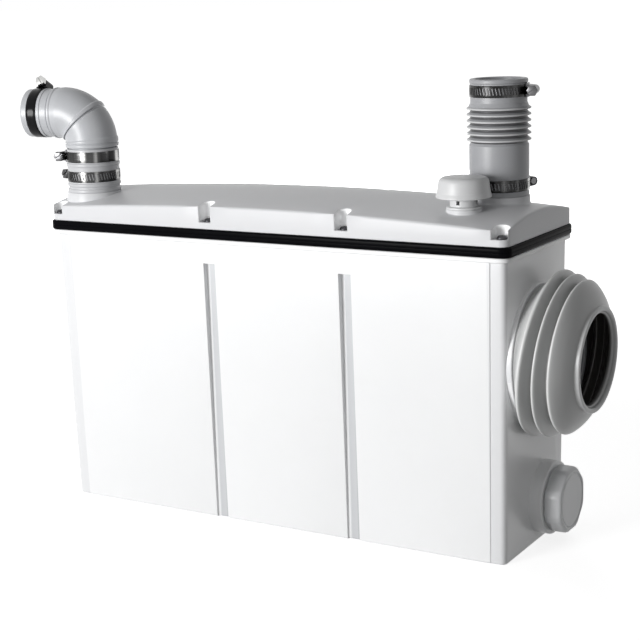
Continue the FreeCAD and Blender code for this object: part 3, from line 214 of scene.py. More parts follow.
glow = ground.node("ShaderNodeEmission", inputs={
    "Color": far.mixed(FLOOR_NEAR, WHITE),
    "Strength": rays(ground, "Is Camera Ray", "Is Glossy Ray")})
ground.node("ShaderNodeOutputMaterial", inputs={
    "Surface": ground.node("ShaderNodeAddShader", inputs={0: matt, 1: glow})})
floor.data.materials.append(floor_paint)


# Tank: the moulded white shell, drafted so that it leaves its mould, with a flange round
# its mouth, a step beside each corner and two grooves down each long side. The spigots for
# the toilet, the low inlet and the cable gland are moulded on.
TANK_TOP_X = 0.233
TANK_TOP_Y = 0.067
TANK_DRAFT = 0.0034
TANK_WALL_TOP = 0.261
TANK_FLANGE_TOP = 0.265
TANK_FLANGE_OUT = 0.004
TANK_CORNER = 0.005
TANK_FOOT_EASE = 0.0012
TANK_FOOT_BULGE = 0.35
STRIP_WIDE = 0.013
STRIP_STEP = 0.0008
GROOVE_XS = (-0.0578, 0.083)
GROOVE_WIDE = 0.012
GROOVE_FLOOR = 0.0615
GROOVE_TOP = 0.242
GROOVE_LIP = 0.0005
GROOVE_ROUND = 0.0008
FLANGE_LIP = 0.0006
FLANGE_CORNER = 0.008
TANK_ROOM_X = 0.226
TANK_ROOM_Y = 0.058
TANK_ROOM_CORNER = 0.004
TANK_FLOOR = 0.004
SIDE_SHARE = 0.49
MERGE_REACH = 1e-7
ON_AXIS = 1e-6
SHARP_ANGLE = 34


def eased(corners, steps=4):
    """The closed outline through the corners (u, v, radius), each rounded by its radius. Gives
    the points and, for each, the number of its corner."""
    points = []
    owners = []
    count = len(corners)
    for number, (u, v, radius) in enumerate(corners):
        spot = Vector((u, v))
        if radius <= 0:
            points.append(spot)
            owners.append(number)
            continue
        before = Vector(corners[number - 1][:2]) - spot
        after = Vector(corners[(number + 1) % count][:2]) - spot
        half = before.angle(after) / 2
        reach = min(radius / math.tan(half), SIDE_SHARE * before.length,
                    SIDE_SHARE * after.length)
        true = reach * math.tan(half)
        bisector = (before.normalized() + after.normalized()).normalized()
        centre = spot + bisector * (true / math.sin(half))
        start = spot + before.normalized() * reach - centre
        sweep = start.angle_signed(spot + after.normalized() * reach - centre)
        for step in range(steps + 1):
            turn = Matrix.Rotation(-sweep * step / steps, 2)
            points.append(centre + turn @ start)
            owners.append(number)
    return points, owners


def smoothed(mesh, angle=SHARP_ANGLE):
    """The mesh shaded smooth, but for edges sharper than the angle."""
    mesh.polygons.foreach_set("use_smooth", [True] * len(mesh.polygons))
    mesh.set_sharp_from_angle(angle=math.radians(angle))


def shown(name, mesh):
    """An object of the mesh, in the scene."""
    made = bpy.data.objects.new(name, mesh)
    scene.collection.objects.link(made)
    return made


def piece(name, points, faces, angle=SHARP_ANGLE):
    """An object of this mesh, its doubles merged, facing outwards, smooth but for edges."""
    mesh = bpy.data.meshes.new(name)
    mesh.from_pydata([tuple(point) for point in points], [], faces)
    work = bmesh.new()
    work.from_mesh(mesh)
    bmesh.ops.remove_doubles(work, verts=work.verts, dist=MERGE_REACH)
    bmesh.ops.recalc_face_normals(work, faces=work.faces)
    work.to_mesh(mesh)
    work.free()
    smoothed(mesh, angle)
    return shown(name, mesh)


def banded(rings, first_cap=True, last_cap=True):
    """Points and faces of rings with equal counts, joined one to the next."""
    count = len(rings[0])
    points = [point for ring in rings for point in ring]
    faces = []
    for level in range(len(rings) - 1):
        for step in range(count):
            after = (step + 1) % count
            faces.append((level * count + step, level * count + after,
                          (level + 1) * count + after, (level + 1) * count + step))
    if first_cap:
        faces.append(tuple(range(count - 1, -1, -1)))
    if last_cap:
        faces.append(tuple(range((len(rings) - 1) * count, len(rings) * count)))
    return points, faces


def stacked(name, rings, angle=SHARP_ANGLE):
    """A piece of rings from one end to the other, both ends closed."""
    return piece(name, *banded(rings), angle)


def looped(name, rings, angle=SHARP_ANGLE):
    """A piece of rings, the last joined back to the first."""
    return piece(name, *banded(rings + rings[:1], False, False), angle)


def turned(name, section, segments, place, angle=SHARP_ANGLE):
    """The closed section (radius, height, ease) turned round the place's own Z."""
    outline, _ = eased(section)
    points = []
    rows = []
    for radius, height in outline:
        if radius < ON_AXIS:
            rows.append([len(points)] * segments)
            points.append(place @ Vector((0, 0, height)))
            continue
        rows.append(list(range(len(points), len(points) + segments)))
        for step in range(segments):
            turn = 2 * math.pi * step / segments
            points.append(place @ Vector((radius * math.cos(turn), radius * math.sin(turn),
                                          height)))
    faces = []
    for number, row in enumerate(rows):
        other = rows[(number + 1) % len(rows)]
        for step in range(segments):
            after = (step + 1) % segments
            corners = []
            for corner in (row[step], row[after], other[after], other[step]):
                if corner not in corners:
                    corners.append(corner)
            if len(corners) > 2:
                faces.append(corners)
    return piece(name, points, faces, angle)


def carved(base, tool, operation="DIFFERENCE"):
    """The base with the tool cut from it or joined to it, and the tool used up."""
    change = base.modifiers.new("carve", "BOOLEAN")
    change.operation = operation
    change.solver = "EXACT"
    change.object = tool
    view = bpy.context.evaluated_depsgraph_get()
    mesh = bpy.data.meshes.new_from_object(base.evaluated_get(view))
    base.modifiers.clear()
    old = base.data
    base.data = mesh
    bpy.data.meshes.remove(old)
    bpy.data.objects.remove(tool)
    smoothed(mesh)
    return base


def drilled(base, name, radius, low, high, segments, place):
    """The base with a round bore cut in it along the place's own Z."""
    section = [(0, low, 0), (radius, low, 0), (radius, high, 0), (0, high, 0)]
    return carved(base, turned(name, section, segments, place))


def towards(place, direction):
    """A place whose own Z points in a direction."""
    return Matrix.Translation(place) @ Vector((0, 0, 1)).rotation_difference(
        Vector(direction)).to_matrix().to_4x4()


def tank_outline(z, inset=0.0):
    """The tank's plan at a height, and whether each point lies inside a groove."""
    less = TANK_DRAFT * (1 - z / TANK_WALL_TOP) + inset
    half_x = TANK_TOP_X - less
    half_y = TANK_TOP_Y - less
    corner = TANK_CORNER - inset
    front = [(-half_x, -half_y + STRIP_STEP, corner),
             (-half_x + STRIP_WIDE, -half_y + STRIP_STEP, 0),
             (-half_x + STRIP_WIDE + STRIP_STEP, -half_y, 0)]
    inner = []
    for groove_x in GROOVE_XS:
        left = groove_x - GROOVE_WIDE / 2
        right = groove_x + GROOVE_WIDE / 2
        inner.append(range(len(front), len(front) + 4))
        front += [(left, -half_y, GROOVE_LIP), (left, -GROOVE_FLOOR + inset, GROOVE_ROUND),
                  (right, -GROOVE_FLOOR + inset, GROOVE_ROUND), (right, -half_y, GROOVE_LIP)]
    front += [(half_x - STRIP_WIDE - STRIP_STEP, -half_y, 0),
              (half_x - STRIP_WIDE, -half_y + STRIP_STEP, 0),
              (half_x, -half_y + STRIP_STEP, corner)]
    back = [(x, -y, radius) for x, y, radius in reversed(front)]
    count = len(front)
    grooves = inner + [range(2 * count - run.stop, 2 * count - run.start) for run in inner]
    points, owners = eased(front + back)
    inside = [False] * len(points)
    for run in grooves:
        held = [number for number, owner in enumerate(owners) if owner in run]
        for number in held[1:-1]:
            inside[number] = True
    return [(x, y, z) for x, y in points], inside


def plain_outline(half_x, half_y, corner, z, inside):
    """A rounded rectangle with the same count of points as the tank's plan has outside its
    grooves."""
    span = TANK_TOP_X - STRIP_WIDE
    xs = [-span, -span + STRIP_STEP]
    for groove_x in GROOVE_XS:
        for side in (-1, 1):
            xs += [groove_x + side * (GROOVE_WIDE / 2 + GROOVE_LIP)]
    xs += [span - STRIP_STEP, span]
    front = [(-half_x, -half_y, corner)] + [(x, -half_y, 0) for x in xs] + [
        (half_x, -half_y, corner)]
    back = [(x, -y, radius) for x, y, radius in reversed(front)]
    points, _ = eased(front + back)
    assert len(points) == len(inside) - sum(inside)
    return [(x, y, z) for x, y in points]


foot_rings = [tank_outline(0.0, TANK_FOOT_EASE)[0],
              tank_outline(TANK_FOOT_BULGE * TANK_FOOT_EASE,
                           TANK_FOOT_BULGE * TANK_FOOT_EASE)[0],
              tank_outline(TANK_FOOT_EASE)[0], tank_outline(GROOVE_TOP)[0]]
_, in_groove = tank_outline(GROOVE_TOP)
tank_points, tank_faces = banded(foot_rings, last_cap=False)
ring_size = len(in_groove)
top_start = 3 * ring_size
last = [top_start + number for number in range(ring_size) if not in_groove[number]]
runs = []
for number in range(ring_size):
    if in_groove[number] and not in_groove[number - 1]:
        runs.append([top_start + number - 1])
    if in_groove[number]:
        runs[-1].append(top_start + number)
        if not in_groove[(number + 1) % ring_size]:
            runs[-1].append(top_start + number + 1)
tank_faces += [tuple(run) for run in runs]
flange_x = TANK_TOP_X + TANK_FLANGE_OUT
flange_y = TANK_TOP_Y + TANK_FLANGE_OUT
upper_rings = [[point for point, inner in zip(tank_outline(TANK_WALL_TOP)[0], in_groove)
                if not inner]]
for inset, height in ((FLANGE_LIP, TANK_WALL_TOP), (0, TANK_WALL_TOP + FLANGE_LIP),
                      (0, TANK_FLANGE_TOP - FLANGE_LIP), (FLANGE_LIP, TANK_FLANGE_TOP)):
    upper_rings.append(plain_outline(flange_x - inset, flange_y - inset,
                                     FLANGE_CORNER - inset, height, in_groove))
for height in (TANK_FLANGE_TOP, TANK_FLOOR):
    upper_rings.append(plain_outline(TANK_ROOM_X, TANK_ROOM_Y, TANK_ROOM_CORNER, height,
                                     in_groove))
for ring in upper_rings:
    start = len(tank_points)
    tank_points += ring
    fresh = list(range(start, start + len(ring)))
    for step in range(len(fresh)):
        after = (step + 1) % len(fresh)
        tank_faces.append((last[step], last[after], fresh[after], fresh[step]))
    last = fresh
tank_faces.append(tuple(last))
tank = piece("tank_shell", tank_points, tank_faces)

INLET_Z = 0.171
LOW_INLET = Vector((0.0, 0.018, 0.038))
GLAND_PLACE = Vector((0.0, 0.022, 0.215))
RIGHT = Vector((1, 0, 0))
LEFT = Vector((-1, 0, 0))
SPIGOT_ROOT = 0.228
SPIGOT_SEGMENTS = 96
BORE_FROM = 0.20
BORE_TO = 0.27
inlet_axis = towards((0, 0, INLET_Z), RIGHT)
low_axis = towards(LOW_INLET, RIGHT)
gland_axis = towards(GLAND_PLACE, LEFT)
# name, axis, its section as (radius, distance from the tank's middle, ease), and its bore
for name, axis, section, bore in (
        ("inlet_spigot", inlet_axis,
         [(0, SPIGOT_ROOT, 0), (0.062, SPIGOT_ROOT, 0), (0.062, 0.236, 0.001),
          (0.050, 0.236, 0.001), (0.050, 0.256, 0.001), (0, 0.256, 0)], 0.047),
        ("low_spigot", low_axis,
         [(0, SPIGOT_ROOT, 0), (0.0325, SPIGOT_ROOT, 0), (0.0325, 0.242, 0.0014),
          (0.024, 0.242, 0.0005), (0.024, 0.253, 0.0008), (0, 0.253, 0)], 0.020),
        ("gland_boss", gland_axis,
         [(0, SPIGOT_ROOT, 0), (0.013, SPIGOT_ROOT, 0), (0.013, 0.235, 0.0008),
          (0, 0.235, 0)], 0.008)):
    carved(tank, turned(name, section, SPIGOT_SEGMENTS, axis), "UNION")
    drilled(tank, name + "_bore", bore, BORE_FROM, BORE_TO, SPIGOT_SEGMENTS, axis)


CLOUD_SCALE = 9.0
CLOUD_DARKEST = 0.3
CLOUD_PALEST = 0.7
CLOUD_ROUGHNESS = 0.10
PATCH_SCALE = 38.0
PATCH_FROM = 0.52
PATCH_FULL = 0.75
PATCH_ROUGHNESS = 0.5
DUST_TINT = (0.62, 0.58, 0.50, 1)
PEEL_GRAIN = 900.0
PEEL_DEPTH = 0.0002


def finish(name, colour, roughness):
    """A new material with its shader, ready for what varies over the surface."""
    material = bpy.data.materials.new(name)
    material.use_nodes = True
    shader = material.node_tree.nodes["Principled BSDF"]
    shader.inputs["Base Color"].default_value = (*colour, 1)
    shader.inputs["Roughness"].default_value = roughness
    return material, shader


def drives(signal, shader, socket):
    """The signal linked to one of the shader's sockets."""
    signal.tree.links.new(signal.socket, shader.inputs[socket])


def painted(material):
    """A material's shader, and the signal that gives it its colour so far."""
    shader = material.node_tree.nodes["Principled BSDF"]
    return shader, Signal(material.node_tree,
                          shader.inputs["Base Color"].links[0].from_socket)


def moulded(name, colour, roughness, cloud, peel, dust, grain=PEEL_GRAIN, sheen=0.5):
    """Moulded plastic or rubber: faint flow clouds, a fine skin of the grain, and dust in
    patches. sheen is how strongly its skin mirrors."""
    material, shader = finish(name, colour, roughness)
    shader.inputs["Specular IOR Level"].default_value = sheen
    base = Signal(material.node_tree)
    spot = base.place()
    clouds = base.node("ShaderNodeTexNoise", None, {
        "Vector": spot, "Scale": CLOUD_SCALE, "Detail": 4.0, "Roughness": 0.55})
    skin = base.node("ShaderNodeTexNoise", None, {
        "Vector": spot, "Scale": grain, "Detail": 2.0})
    patches = base.node("ShaderNodeTexNoise", None, {
        "Vector": spot, "Scale": PATCH_SCALE, "Detail": 6.0, "Roughness": 0.7})
    dark = tuple(c * (1 - cloud) for c in colour) + (1,)
    ground_colour = base.node("ShaderNodeValToRGB", {
        "stops": [(CLOUD_DARKEST, dark), (CLOUD_PALEST, (*colour, 1))]}, {"Fac": clouds})
    dusty = base.node("ShaderNodeMapRange", None, {
        "Value": patches, "From Min": PATCH_FROM, "From Max": PATCH_FULL, "To Max": dust})
    drives(dusty.mixed(ground_colour, DUST_TINT), shader, "Base Color")
    drives(clouds * CLOUD_ROUGHNESS + dusty * PATCH_ROUGHNESS
           + (roughness - CLOUD_ROUGHNESS / 2), shader, "Roughness")
    drives(base.node("ShaderNodeBump", None, {
        "Height": skin, "Strength": peel, "Distance": PEEL_DEPTH}), shader, "Normal")
    return material


TANK_WHITE = moulded("tank_white_plastic", (0.86, 0.865, 0.87), 0.30, cloud=0.02, peel=0.03,
                     dust=0.03)
# Painted shade for the groove floors, their right corners and the strips beside the tank's
# corners
GROOVE_PAINTED_SHADE = (0.57, 0.58, 0.595, 1)
GROOVE_CORNER_PAINTED_SHADE = (0.36, 0.365, 0.375, 1)
STRIP_PAINTED_SHADE = (0.77, 0.775, 0.785, 1)
GROOVE_SLACK = 0.0003
GROOVE_INNER = TANK_ROOM_Y + 0.001
STRIP_INNER = TANK_ROOM_Y + 0.003
# across a groove from its middle: where the painted floor shade and corner shade start and are
# full
SHADE_FROM = -0.0046
SHADE_FULL = -0.0018
CORNER_SHADE_FROM = 0.0030
CORNER_SHADE_FULL = 0.0058


def painted_groove_shade(material):
    """Painted shade: each groove's floor is painted grey, fading out towards its left wall where
    that wall's own shadow falls, and darker along its right corner; the strips beside the
    corners are painted a little greyer than the faces."""
    shader, base = painted(material)
    across, deep, high = base.node("ShaderNodeSeparateXYZ", None, {
        0: base.place()}).parts("X", "Y", "Z")
    depth = base.maths("ABSOLUTE", deep)
    lefts = [across - groove_x for groove_x in GROOVE_XS]
    half = GROOVE_WIDE / 2 + GROOVE_SLACK
    side = base.maths("ADD", *[left * base.maths("LESS_THAN", base.maths(
        "ABSOLUTE", left), half) for left in lefts])
    near = base.maths("MINIMUM", *[base.maths("ABSOLUTE", left) for left in lefts])
    held = base.maths("LESS_THAN", near, half)
    held = held * base.maths("LESS_THAN", high, GROOVE_TOP + GROOVE_SLACK)
    held = held * base.maths("LESS_THAN", depth, GROOVE_FLOOR + 2 * GROOVE_SLACK)
    held = held * base.maths("GREATER_THAN", depth, GROOVE_INNER)
    held = held * base.node("ShaderNodeMapRange", {"interpolation_type": "SMOOTHSTEP"}, {
        "Value": side, "From Min": SHADE_FROM, "From Max": SHADE_FULL})
    # dust here is the painted shade along each groove's right corner
    dust = base.node("ShaderNodeMapRange", {"interpolation_type": "SMOOTHSTEP"}, {
        "Value": side, "From Min": CORNER_SHADE_FROM, "From Max": CORNER_SHADE_FULL})
    # painted shade: the strips beside the corners are painted greyer, for the shade of the step
    # beside them
    strip = base.maths("GREATER_THAN", base.maths("ABSOLUTE", across),
                       TANK_TOP_X - STRIP_WIDE - TANK_DRAFT)
    strip = strip * base.maths("GREATER_THAN", depth, STRIP_INNER)
    strip = strip * base.maths("LESS_THAN", high, TANK_WALL_TOP)
    plain = strip.mixed(base, STRIP_PAINTED_SHADE)
    grey = dust.mixed(GROOVE_PAINTED_SHADE, GROOVE_CORNER_PAINTED_SHADE)
    drives(held.mixed(plain, grey), shader, "Base Color")


painted_groove_shade(TANK_WHITE)
tank.data.materials.append(TANK_WHITE)
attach(tank, "station")
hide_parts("tank")


# Seal: one black rubber ring between the tank's flange and the lid, pressed so that its
# rounded edge stands a millimetre proud. It is smooth, mirrors little and carries a fine
# parting line.
SEAL_FOOT = 0.265
SEAL_HIGH = 0.009
SEAL_PROUD = 0.001
SEAL_BAND = 0.011
SEAL_ROUND = 0.0030
SEAL_LINE = 0.0004
SEAL_CORNER = 0.009
SEAL_LEAST_CORNER = 0.002
SEAL_STEPS = 8


def rounded_plan(half_x, half_y, corner, z):
    """A rounded rectangle round the middle, at a height."""
    corners = [(-half_x, -half_y, corner), (half_x, -half_y, corner),
               (half_x, half_y, corner), (-half_x, half_y, corner)]
    points, _ = eased(corners, steps=SEAL_STEPS)
    return [(x, y, z) for x, y in points]


seal_middle = SEAL_FOOT + SEAL_HIGH / 2
seal_section, _ = eased([
    (SEAL_PROUD + SEAL_BAND, SEAL_FOOT, SEAL_LINE), (0.0, SEAL_FOOT, SEAL_ROUND),
    (0.0, seal_middle - SEAL_LINE, SEAL_LINE / 2), (SEAL_LINE, seal_middle, SEAL_LINE / 2),
    (0.0, seal_middle + SEAL_LINE, SEAL_LINE / 2), (0.0, SEAL_FOOT + SEAL_HIGH, SEAL_ROUND),
    (SEAL_PROUD + SEAL_BAND, SEAL_FOOT + SEAL_HIGH, SEAL_LINE)])
seal_rings = [rounded_plan(flange_x + SEAL_PROUD - inset, flange_y + SEAL_PROUD - inset,
                           max(SEAL_CORNER - inset, SEAL_LEAST_CORNER), height)
              for inset, height in seal_section]
seal = looped("lid_seal_ring", seal_rings)
SEAL_BLACK = moulded("seal_black_rubber", (0.003, 0.003, 0.004), 0.22, cloud=0.2, peel=0.06,
                     dust=0.003, sheen=0.015)
seal.data.materials.append(SEAL_BLACK)
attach(seal, "station")
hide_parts("lid_seal")


# Lid: a moulded cover crowned along and across, with a fluted recess at each screw and low
# round bosses under the riser, the vent and the sleeve. It is hollow underneath.
LID_FOOT = 0.274
LID_SEAT = 0.280
LID_X = 0.2364
LID_Y = 0.0704
LID_CORNER = 0.008
LID_EDGE = 0.002
CROWN_TOP = 0.3045
CROWN_LONG = 3.364
CROWN_CROSS = 0.267
LID_WALL = 0.0028
SCREW_X = 0.229
SCREW_Y = 0.063
FLUTES = ((-SCREW_X, 0.0066), (GROOVE_XS[0], 0.006), (GROOVE_XS[1], 0.006), (SCREW_X, 0.0066))
FLUTE_MOUTH = 0.0009
FLUTE_EASE = 0.00045
POCKET_X = 0.2295
POCKET_Y = 0.052
SLEEVE_PLACE = Vector((0.1906, 0.018, 0))
VENT_PLACE = Vector((0.182, -0.035, 0))
RISER_PLACE = Vector((-0.209, -0.035, 0))
SLEEVE_SEAT = 0.304
SLEEVE_BOSS = 0.0262
SLEEVE_BOSS_FILLET = 0.0024
SLEEVE_BORE = 0.0198
STUB_RADIUS = 0.0229
STUB_TOP = 0.330
BOSS_TOP = 0.299
VENT_BOSS = 0.0147
VENT_BOSS_FILLET = 0.0010
VENT_BORE = 0.008
BOSS_RIM = 0.0008
BOSS_RIM_STEP = 0.00024
STUB_RIM = 0.0006
BOSS_STEPS = 48
LID_FOOT_EASE = 0.0005
LID_EDGE_STEPS = 4
LID_END_STEPS = 9
EDGE_PITCH = 0.02
LEAST_BEND = 0.6
POCKET_CORNER = 0.006
FLUTE_STEPS = 12
MOUTH_STEPS = 3
CORNER_STEPS = 4
SILL_STEPS = 6
FILLET_TURNS = (25, 50, 72)
# the top edge is eased least beside a flute and more by a share of the distance from it, and
# less in a flute whose wall is thin
LEAST_EASE = 0.00004
EASE_GROWTH = 0.3
THIN_END = 0.0012
THIN_EASE = 0.00012
# how far apart the inner corners of the crown and of the ceiling are, and from any edge
CROWN_PITCH = 0.009
CROWN_MARGIN = 0.006
CEILING_PITCH = 0.02
CEILING_MARGIN = 0.01


def crown(x, y):
    """The height of the lid's crown at a spot."""
    ring = CROWN_LONG - CROWN_CROSS + math.sqrt(CROWN_CROSS ** 2 - y * y)
    return CROWN_TOP - CROWN_LONG + math.sqrt(ring * ring - x * x)


def arc(centre, radius, start, stop, steps):
    """Points on an arc, its angles in degrees, both ends included."""
    points = []
    for step in range(steps + 1):
        turn = math.radians(start + (stop - start) * step / steps)
        points.append((centre[0] + radius * math.cos(turn),
                       centre[1] + radius * math.sin(turn)))
    return points


def front_edge():
    """The lid's front edge from left to right as runs: points on both outlines, and at each
    flute the points of the sill below it and of the flute itself."""
    centre_x = LID_X - LID_CORNER
    centre_y = LID_CORNER - LID_Y
    runs = []
    for flute_x, radius in FLUTES:
        left = flute_x - radius
        right = flute_x + radius
        cut = arc((flute_x, -SCREW_Y), radius, 180, 0, FLUTE_STEPS)
        sill = []
        if left < -centre_x:
            meets = math.degrees(math.acos((left + centre_x) / LID_CORNER))
            runs.append(("both", arc((-centre_x, centre_y), LID_CORNER, 180, 360 - meets,
                                     CORNER_STEPS)))
            sill = arc((-centre_x, centre_y), LID_CORNER, 360 - meets, 270, SILL_STEPS)[1:]
            meet_y = runs[-1][1][-1][1]
            cut = [(left, meet_y + (-SCREW_Y - meet_y) * step / CORNER_STEPS)
                   for step in range(1, CORNER_STEPS)] + cut
        else:
            cut = arc((left - FLUTE_MOUTH, FLUTE_MOUTH - LID_Y), FLUTE_MOUTH, 270, 360,
                      MOUTH_STEPS) + cut
        after = []
        if right > centre_x:
            meets = math.degrees(math.acos((right - centre_x) / LID_CORNER))
            sill = arc((centre_x, centre_y), LID_CORNER, 270, 360 - meets, SILL_STEPS)[:-1]
            after = arc((centre_x, centre_y), LID_CORNER, 360 - meets, 360, CORNER_STEPS)
            meet_y = after[0][1]
            cut += [(right, meet_y + (-SCREW_Y - meet_y) * step / CORNER_STEPS)
                    for step in range(CORNER_STEPS - 1, 0, -1)]
        else:
            cut += arc((right + FLUTE_MOUTH, FLUTE_MOUTH - LID_Y), FLUTE_MOUTH, 180, 270,
                       MOUTH_STEPS)
        if left >= -centre_x:
            runs.append(("both", [cut.pop(0)]))
        if right <= centre_x:
            after = [cut.pop()]
        runs.append(("flute", sill, cut))
        runs.append(("both", after))
        if flute_x < SCREW_X:
            wide = FLUTES[[f[0] for f in FLUTES].index(flute_x) + 1]
            reach = wide[0] - wide[1] - FLUTE_MOUTH - (right + FLUTE_MOUTH)
            steps = max(2, round(reach / EDGE_PITCH))
            runs.append(("both", [(right + FLUTE_MOUTH + reach * step / steps, -LID_Y)
                                  for step in range(1, steps)]))
    return runs


side_y = LID_Y - LID_CORNER
front_runs = front_edge()
side_run = [("both", [(LID_X, -side_y + 2 * side_y * step / LID_END_STEPS)
                      for step in range(1, LID_END_STEPS)])]
back_runs = []
for run in reversed(front_runs):
    back_runs.append((run[0],) + tuple([(x, -y) for x, y in reversed(part)]
                                       for part in run[1:]))
all_runs = front_runs + side_run + back_runs + [
    (kind, [(-x, -y) for x, y in part]) for kind, part in side_run]

lid_work = bmesh.new()
seat_ring = []
upper_ring = []
seats = []
flute_spots = [point for run in all_runs if run[0] == "flute" for point in run[2]]


def nearest(point, others):
    """The distance from a point to the nearest of the others."""
    return min(math.hypot(point[0] - x, point[1] - y) for x, y in others)


eases = []
for run in all_runs:
    if run[0] == "both":
        for x, y in run[1]:
            corner = lid_work.verts.new((x, y, LID_SEAT))
            seat_ring.append(corner)
            upper_ring.append(corner)
            eases.append(min(LID_EDGE, LEAST_EASE
                             + EASE_GROWTH * nearest((x, y), flute_spots)))
    else:
        before = seat_ring[-1]
        sill = [lid_work.verts.new((x, y, LID_SEAT)) for x, y in run[1]]
        cut = [lid_work.verts.new((x, y, LID_SEAT)) for x, y in run[2]]
        seat_ring += sill
        upper_ring += cut
        for x, y in run[2]:
            thin = abs(x) > LID_X - THIN_END
            eases.append(THIN_EASE if thin else FLUTE_EASE)
        seats.append((before, sill, cut, len(seat_ring)))
for before, sill, cut, after in seats:
    following = seat_ring[after % len(seat_ring)]
    lid_work.faces.new([before] + sill + [following] + list(reversed(cut)))


def joined(work, first, second):
    """Faces between two closed rings of corners."""
    count = len(first)
    for step in range(count):
        after = (step + 1) % count
        work.faces.new((first[step], first[after], second[after], second[step]))


def inward(ring):
    """For each corner of a ring, the way inwards, longer where the outline turns."""
    ways = []
    count = len(ring)
    for step in range(count):
        here = Vector(ring[step].co.xy)
        before = (here - Vector(ring[step - 1].co.xy)).normalized()
        after = (Vector(ring[(step + 1) % count].co.xy) - here).normalized()
        first = Vector((-before.y, before.x))
        second = Vector((-after.y, after.x))
        way = (first + second).normalized()
        ways.append(way / max(way.dot(first), LEAST_BEND))
    return ways


sole = []
foot = []
for corner, way in zip(seat_ring, inward(seat_ring)):
    foot.append(lid_work.verts.new((corner.co.x, corner.co.y, LID_FOOT + LID_FOOT_EASE)))
    sole.append(lid_work.verts.new((corner.co.x + way.x * LID_FOOT_EASE,
                                    corner.co.y + way.y * LID_FOOT_EASE, LID_FOOT)))
joined(lid_work, sole, foot)
joined(lid_work, foot, seat_ring)
ways = inward(upper_ring)
below = upper_ring
for step in range(LID_EDGE_STEPS + 1):
    turn = math.pi / 2 * step / LID_EDGE_STEPS
    fresh = []
    for corner, way, ease in zip(upper_ring, ways, eases):
        x = corner.co.x + way.x * ease * (1 - math.cos(turn))
        y = corner.co.y + way.y * ease * (1 - math.cos(turn))
        fresh.append(lid_work.verts.new((x, y, crown(x, y) - ease * (1 - math.sin(turn)))))
    joined(lid_work, below, fresh)
    below = fresh


def inside(point, outline):
    """Whether a point lies inside a closed outline."""
    x, y = point
    held = False
    for step in range(len(outline)):
        x1, y1 = outline[step - 1]
        x2, y2 = outline[step]
        if (y1 > y) != (y2 > y) and x < (x2 - x1) * (y - y1) / (y2 - y1) + x1:
            held = not held
    return held


def filled(work, outer, holes, pitch, margin, height):
    """Triangles between an outer ring of corners and the rings of holes in it, with inner
    corners a pitch apart whose height a function gives."""
    rings = [outer] + holes
    outlines = [[(corner.co.x, corner.co.y) for corner in ring] for ring in rings]
    spots = [spot for outline in outlines for spot in outline]
    corners = [corner for ring in rings for corner in ring]
    edges = []
    start = 0
    for outline in outlines:
        count = len(outline)
        edges += [(start + step, start + (step + 1) % count) for step in range(count)]
        start += count
    cloud = np.array(spots)
    low = cloud.min(0)
    high = cloud.max(0)
    if pitch:
        for u in np.arange(low[0] + pitch / 2, high[0], pitch):
            for v in np.arange(low[1] + pitch / 2, high[1], pitch):
                apart = np.hypot(cloud[:, 0] - u, cloud[:, 1] - v).min()
                if apart > margin and inside((u, v), outlines[0]) and not any(
                        inside((u, v), hole) for hole in outlines[1:]):
                    spots.append((u, v))
                    corners.append(work.verts.new((u, v, height(u, v))))
    found = delaunay_2d_cdt([Vector(spot) for spot in spots], edges, [], 0, MERGE_REACH)
    origin = [given[0] if given else -1 for given in found[3]]
    for triangle in found[2]:
        middle = sum((found[0][number] for number in triangle), Vector((0, 0))) / 3
        if not inside(middle, outlines[0]) or any(inside(middle, hole)
                                                  for hole in outlines[1:]):
            continue
        if min(origin[number] for number in triangle) < 0:
            raise RuntimeError("the fill met a crossing edge")
        work.faces.new([corners[origin[number]] for number in triangle])


def boss(work, place, radius, fillet, top, bore, stub=None):
    """A round boss on the crown: its foot ring on the crown, its wall, rim and bore, and the
    ring where the bore leaves the lid's ceiling."""
    rows = []

    def row(size, height):
        spots = arc(place, size, 0, 360 - 360 / BOSS_STEPS, BOSS_STEPS - 1)
        rows.append([work.verts.new((x, y, height(x, y))) for x, y in spots])

    row(radius + fillet, crown)
    for turn in FILLET_TURNS:
        out = fillet * (1 - math.sin(math.radians(turn)))
        up = fillet * (1 - math.cos(math.radians(turn)))
        row(radius + out, lambda x, y, up=up: crown(x, y) + up)
    row(radius, lambda x, y: top - BOSS_RIM)
    row(radius - BOSS_RIM_STEP, lambda x, y: top - BOSS_RIM_STEP)
    row(radius - BOSS_RIM, lambda x, y: top)
    if stub:
        stub_radius, stub_top = stub
        row(stub_radius, lambda x, y: top)
        row(stub_radius, lambda x, y: stub_top - STUB_RIM)
        row(stub_radius - STUB_RIM, lambda x, y: stub_top)
        row(bore, lambda x, y: stub_top)
    else:
        row(bore, lambda x, y: top)
    row(bore, lambda x, y: crown(x, y) - LID_WALL)
    for first, second in zip(rows, rows[1:]):
        joined(work, first, second)
    return rows[0], rows[-1]


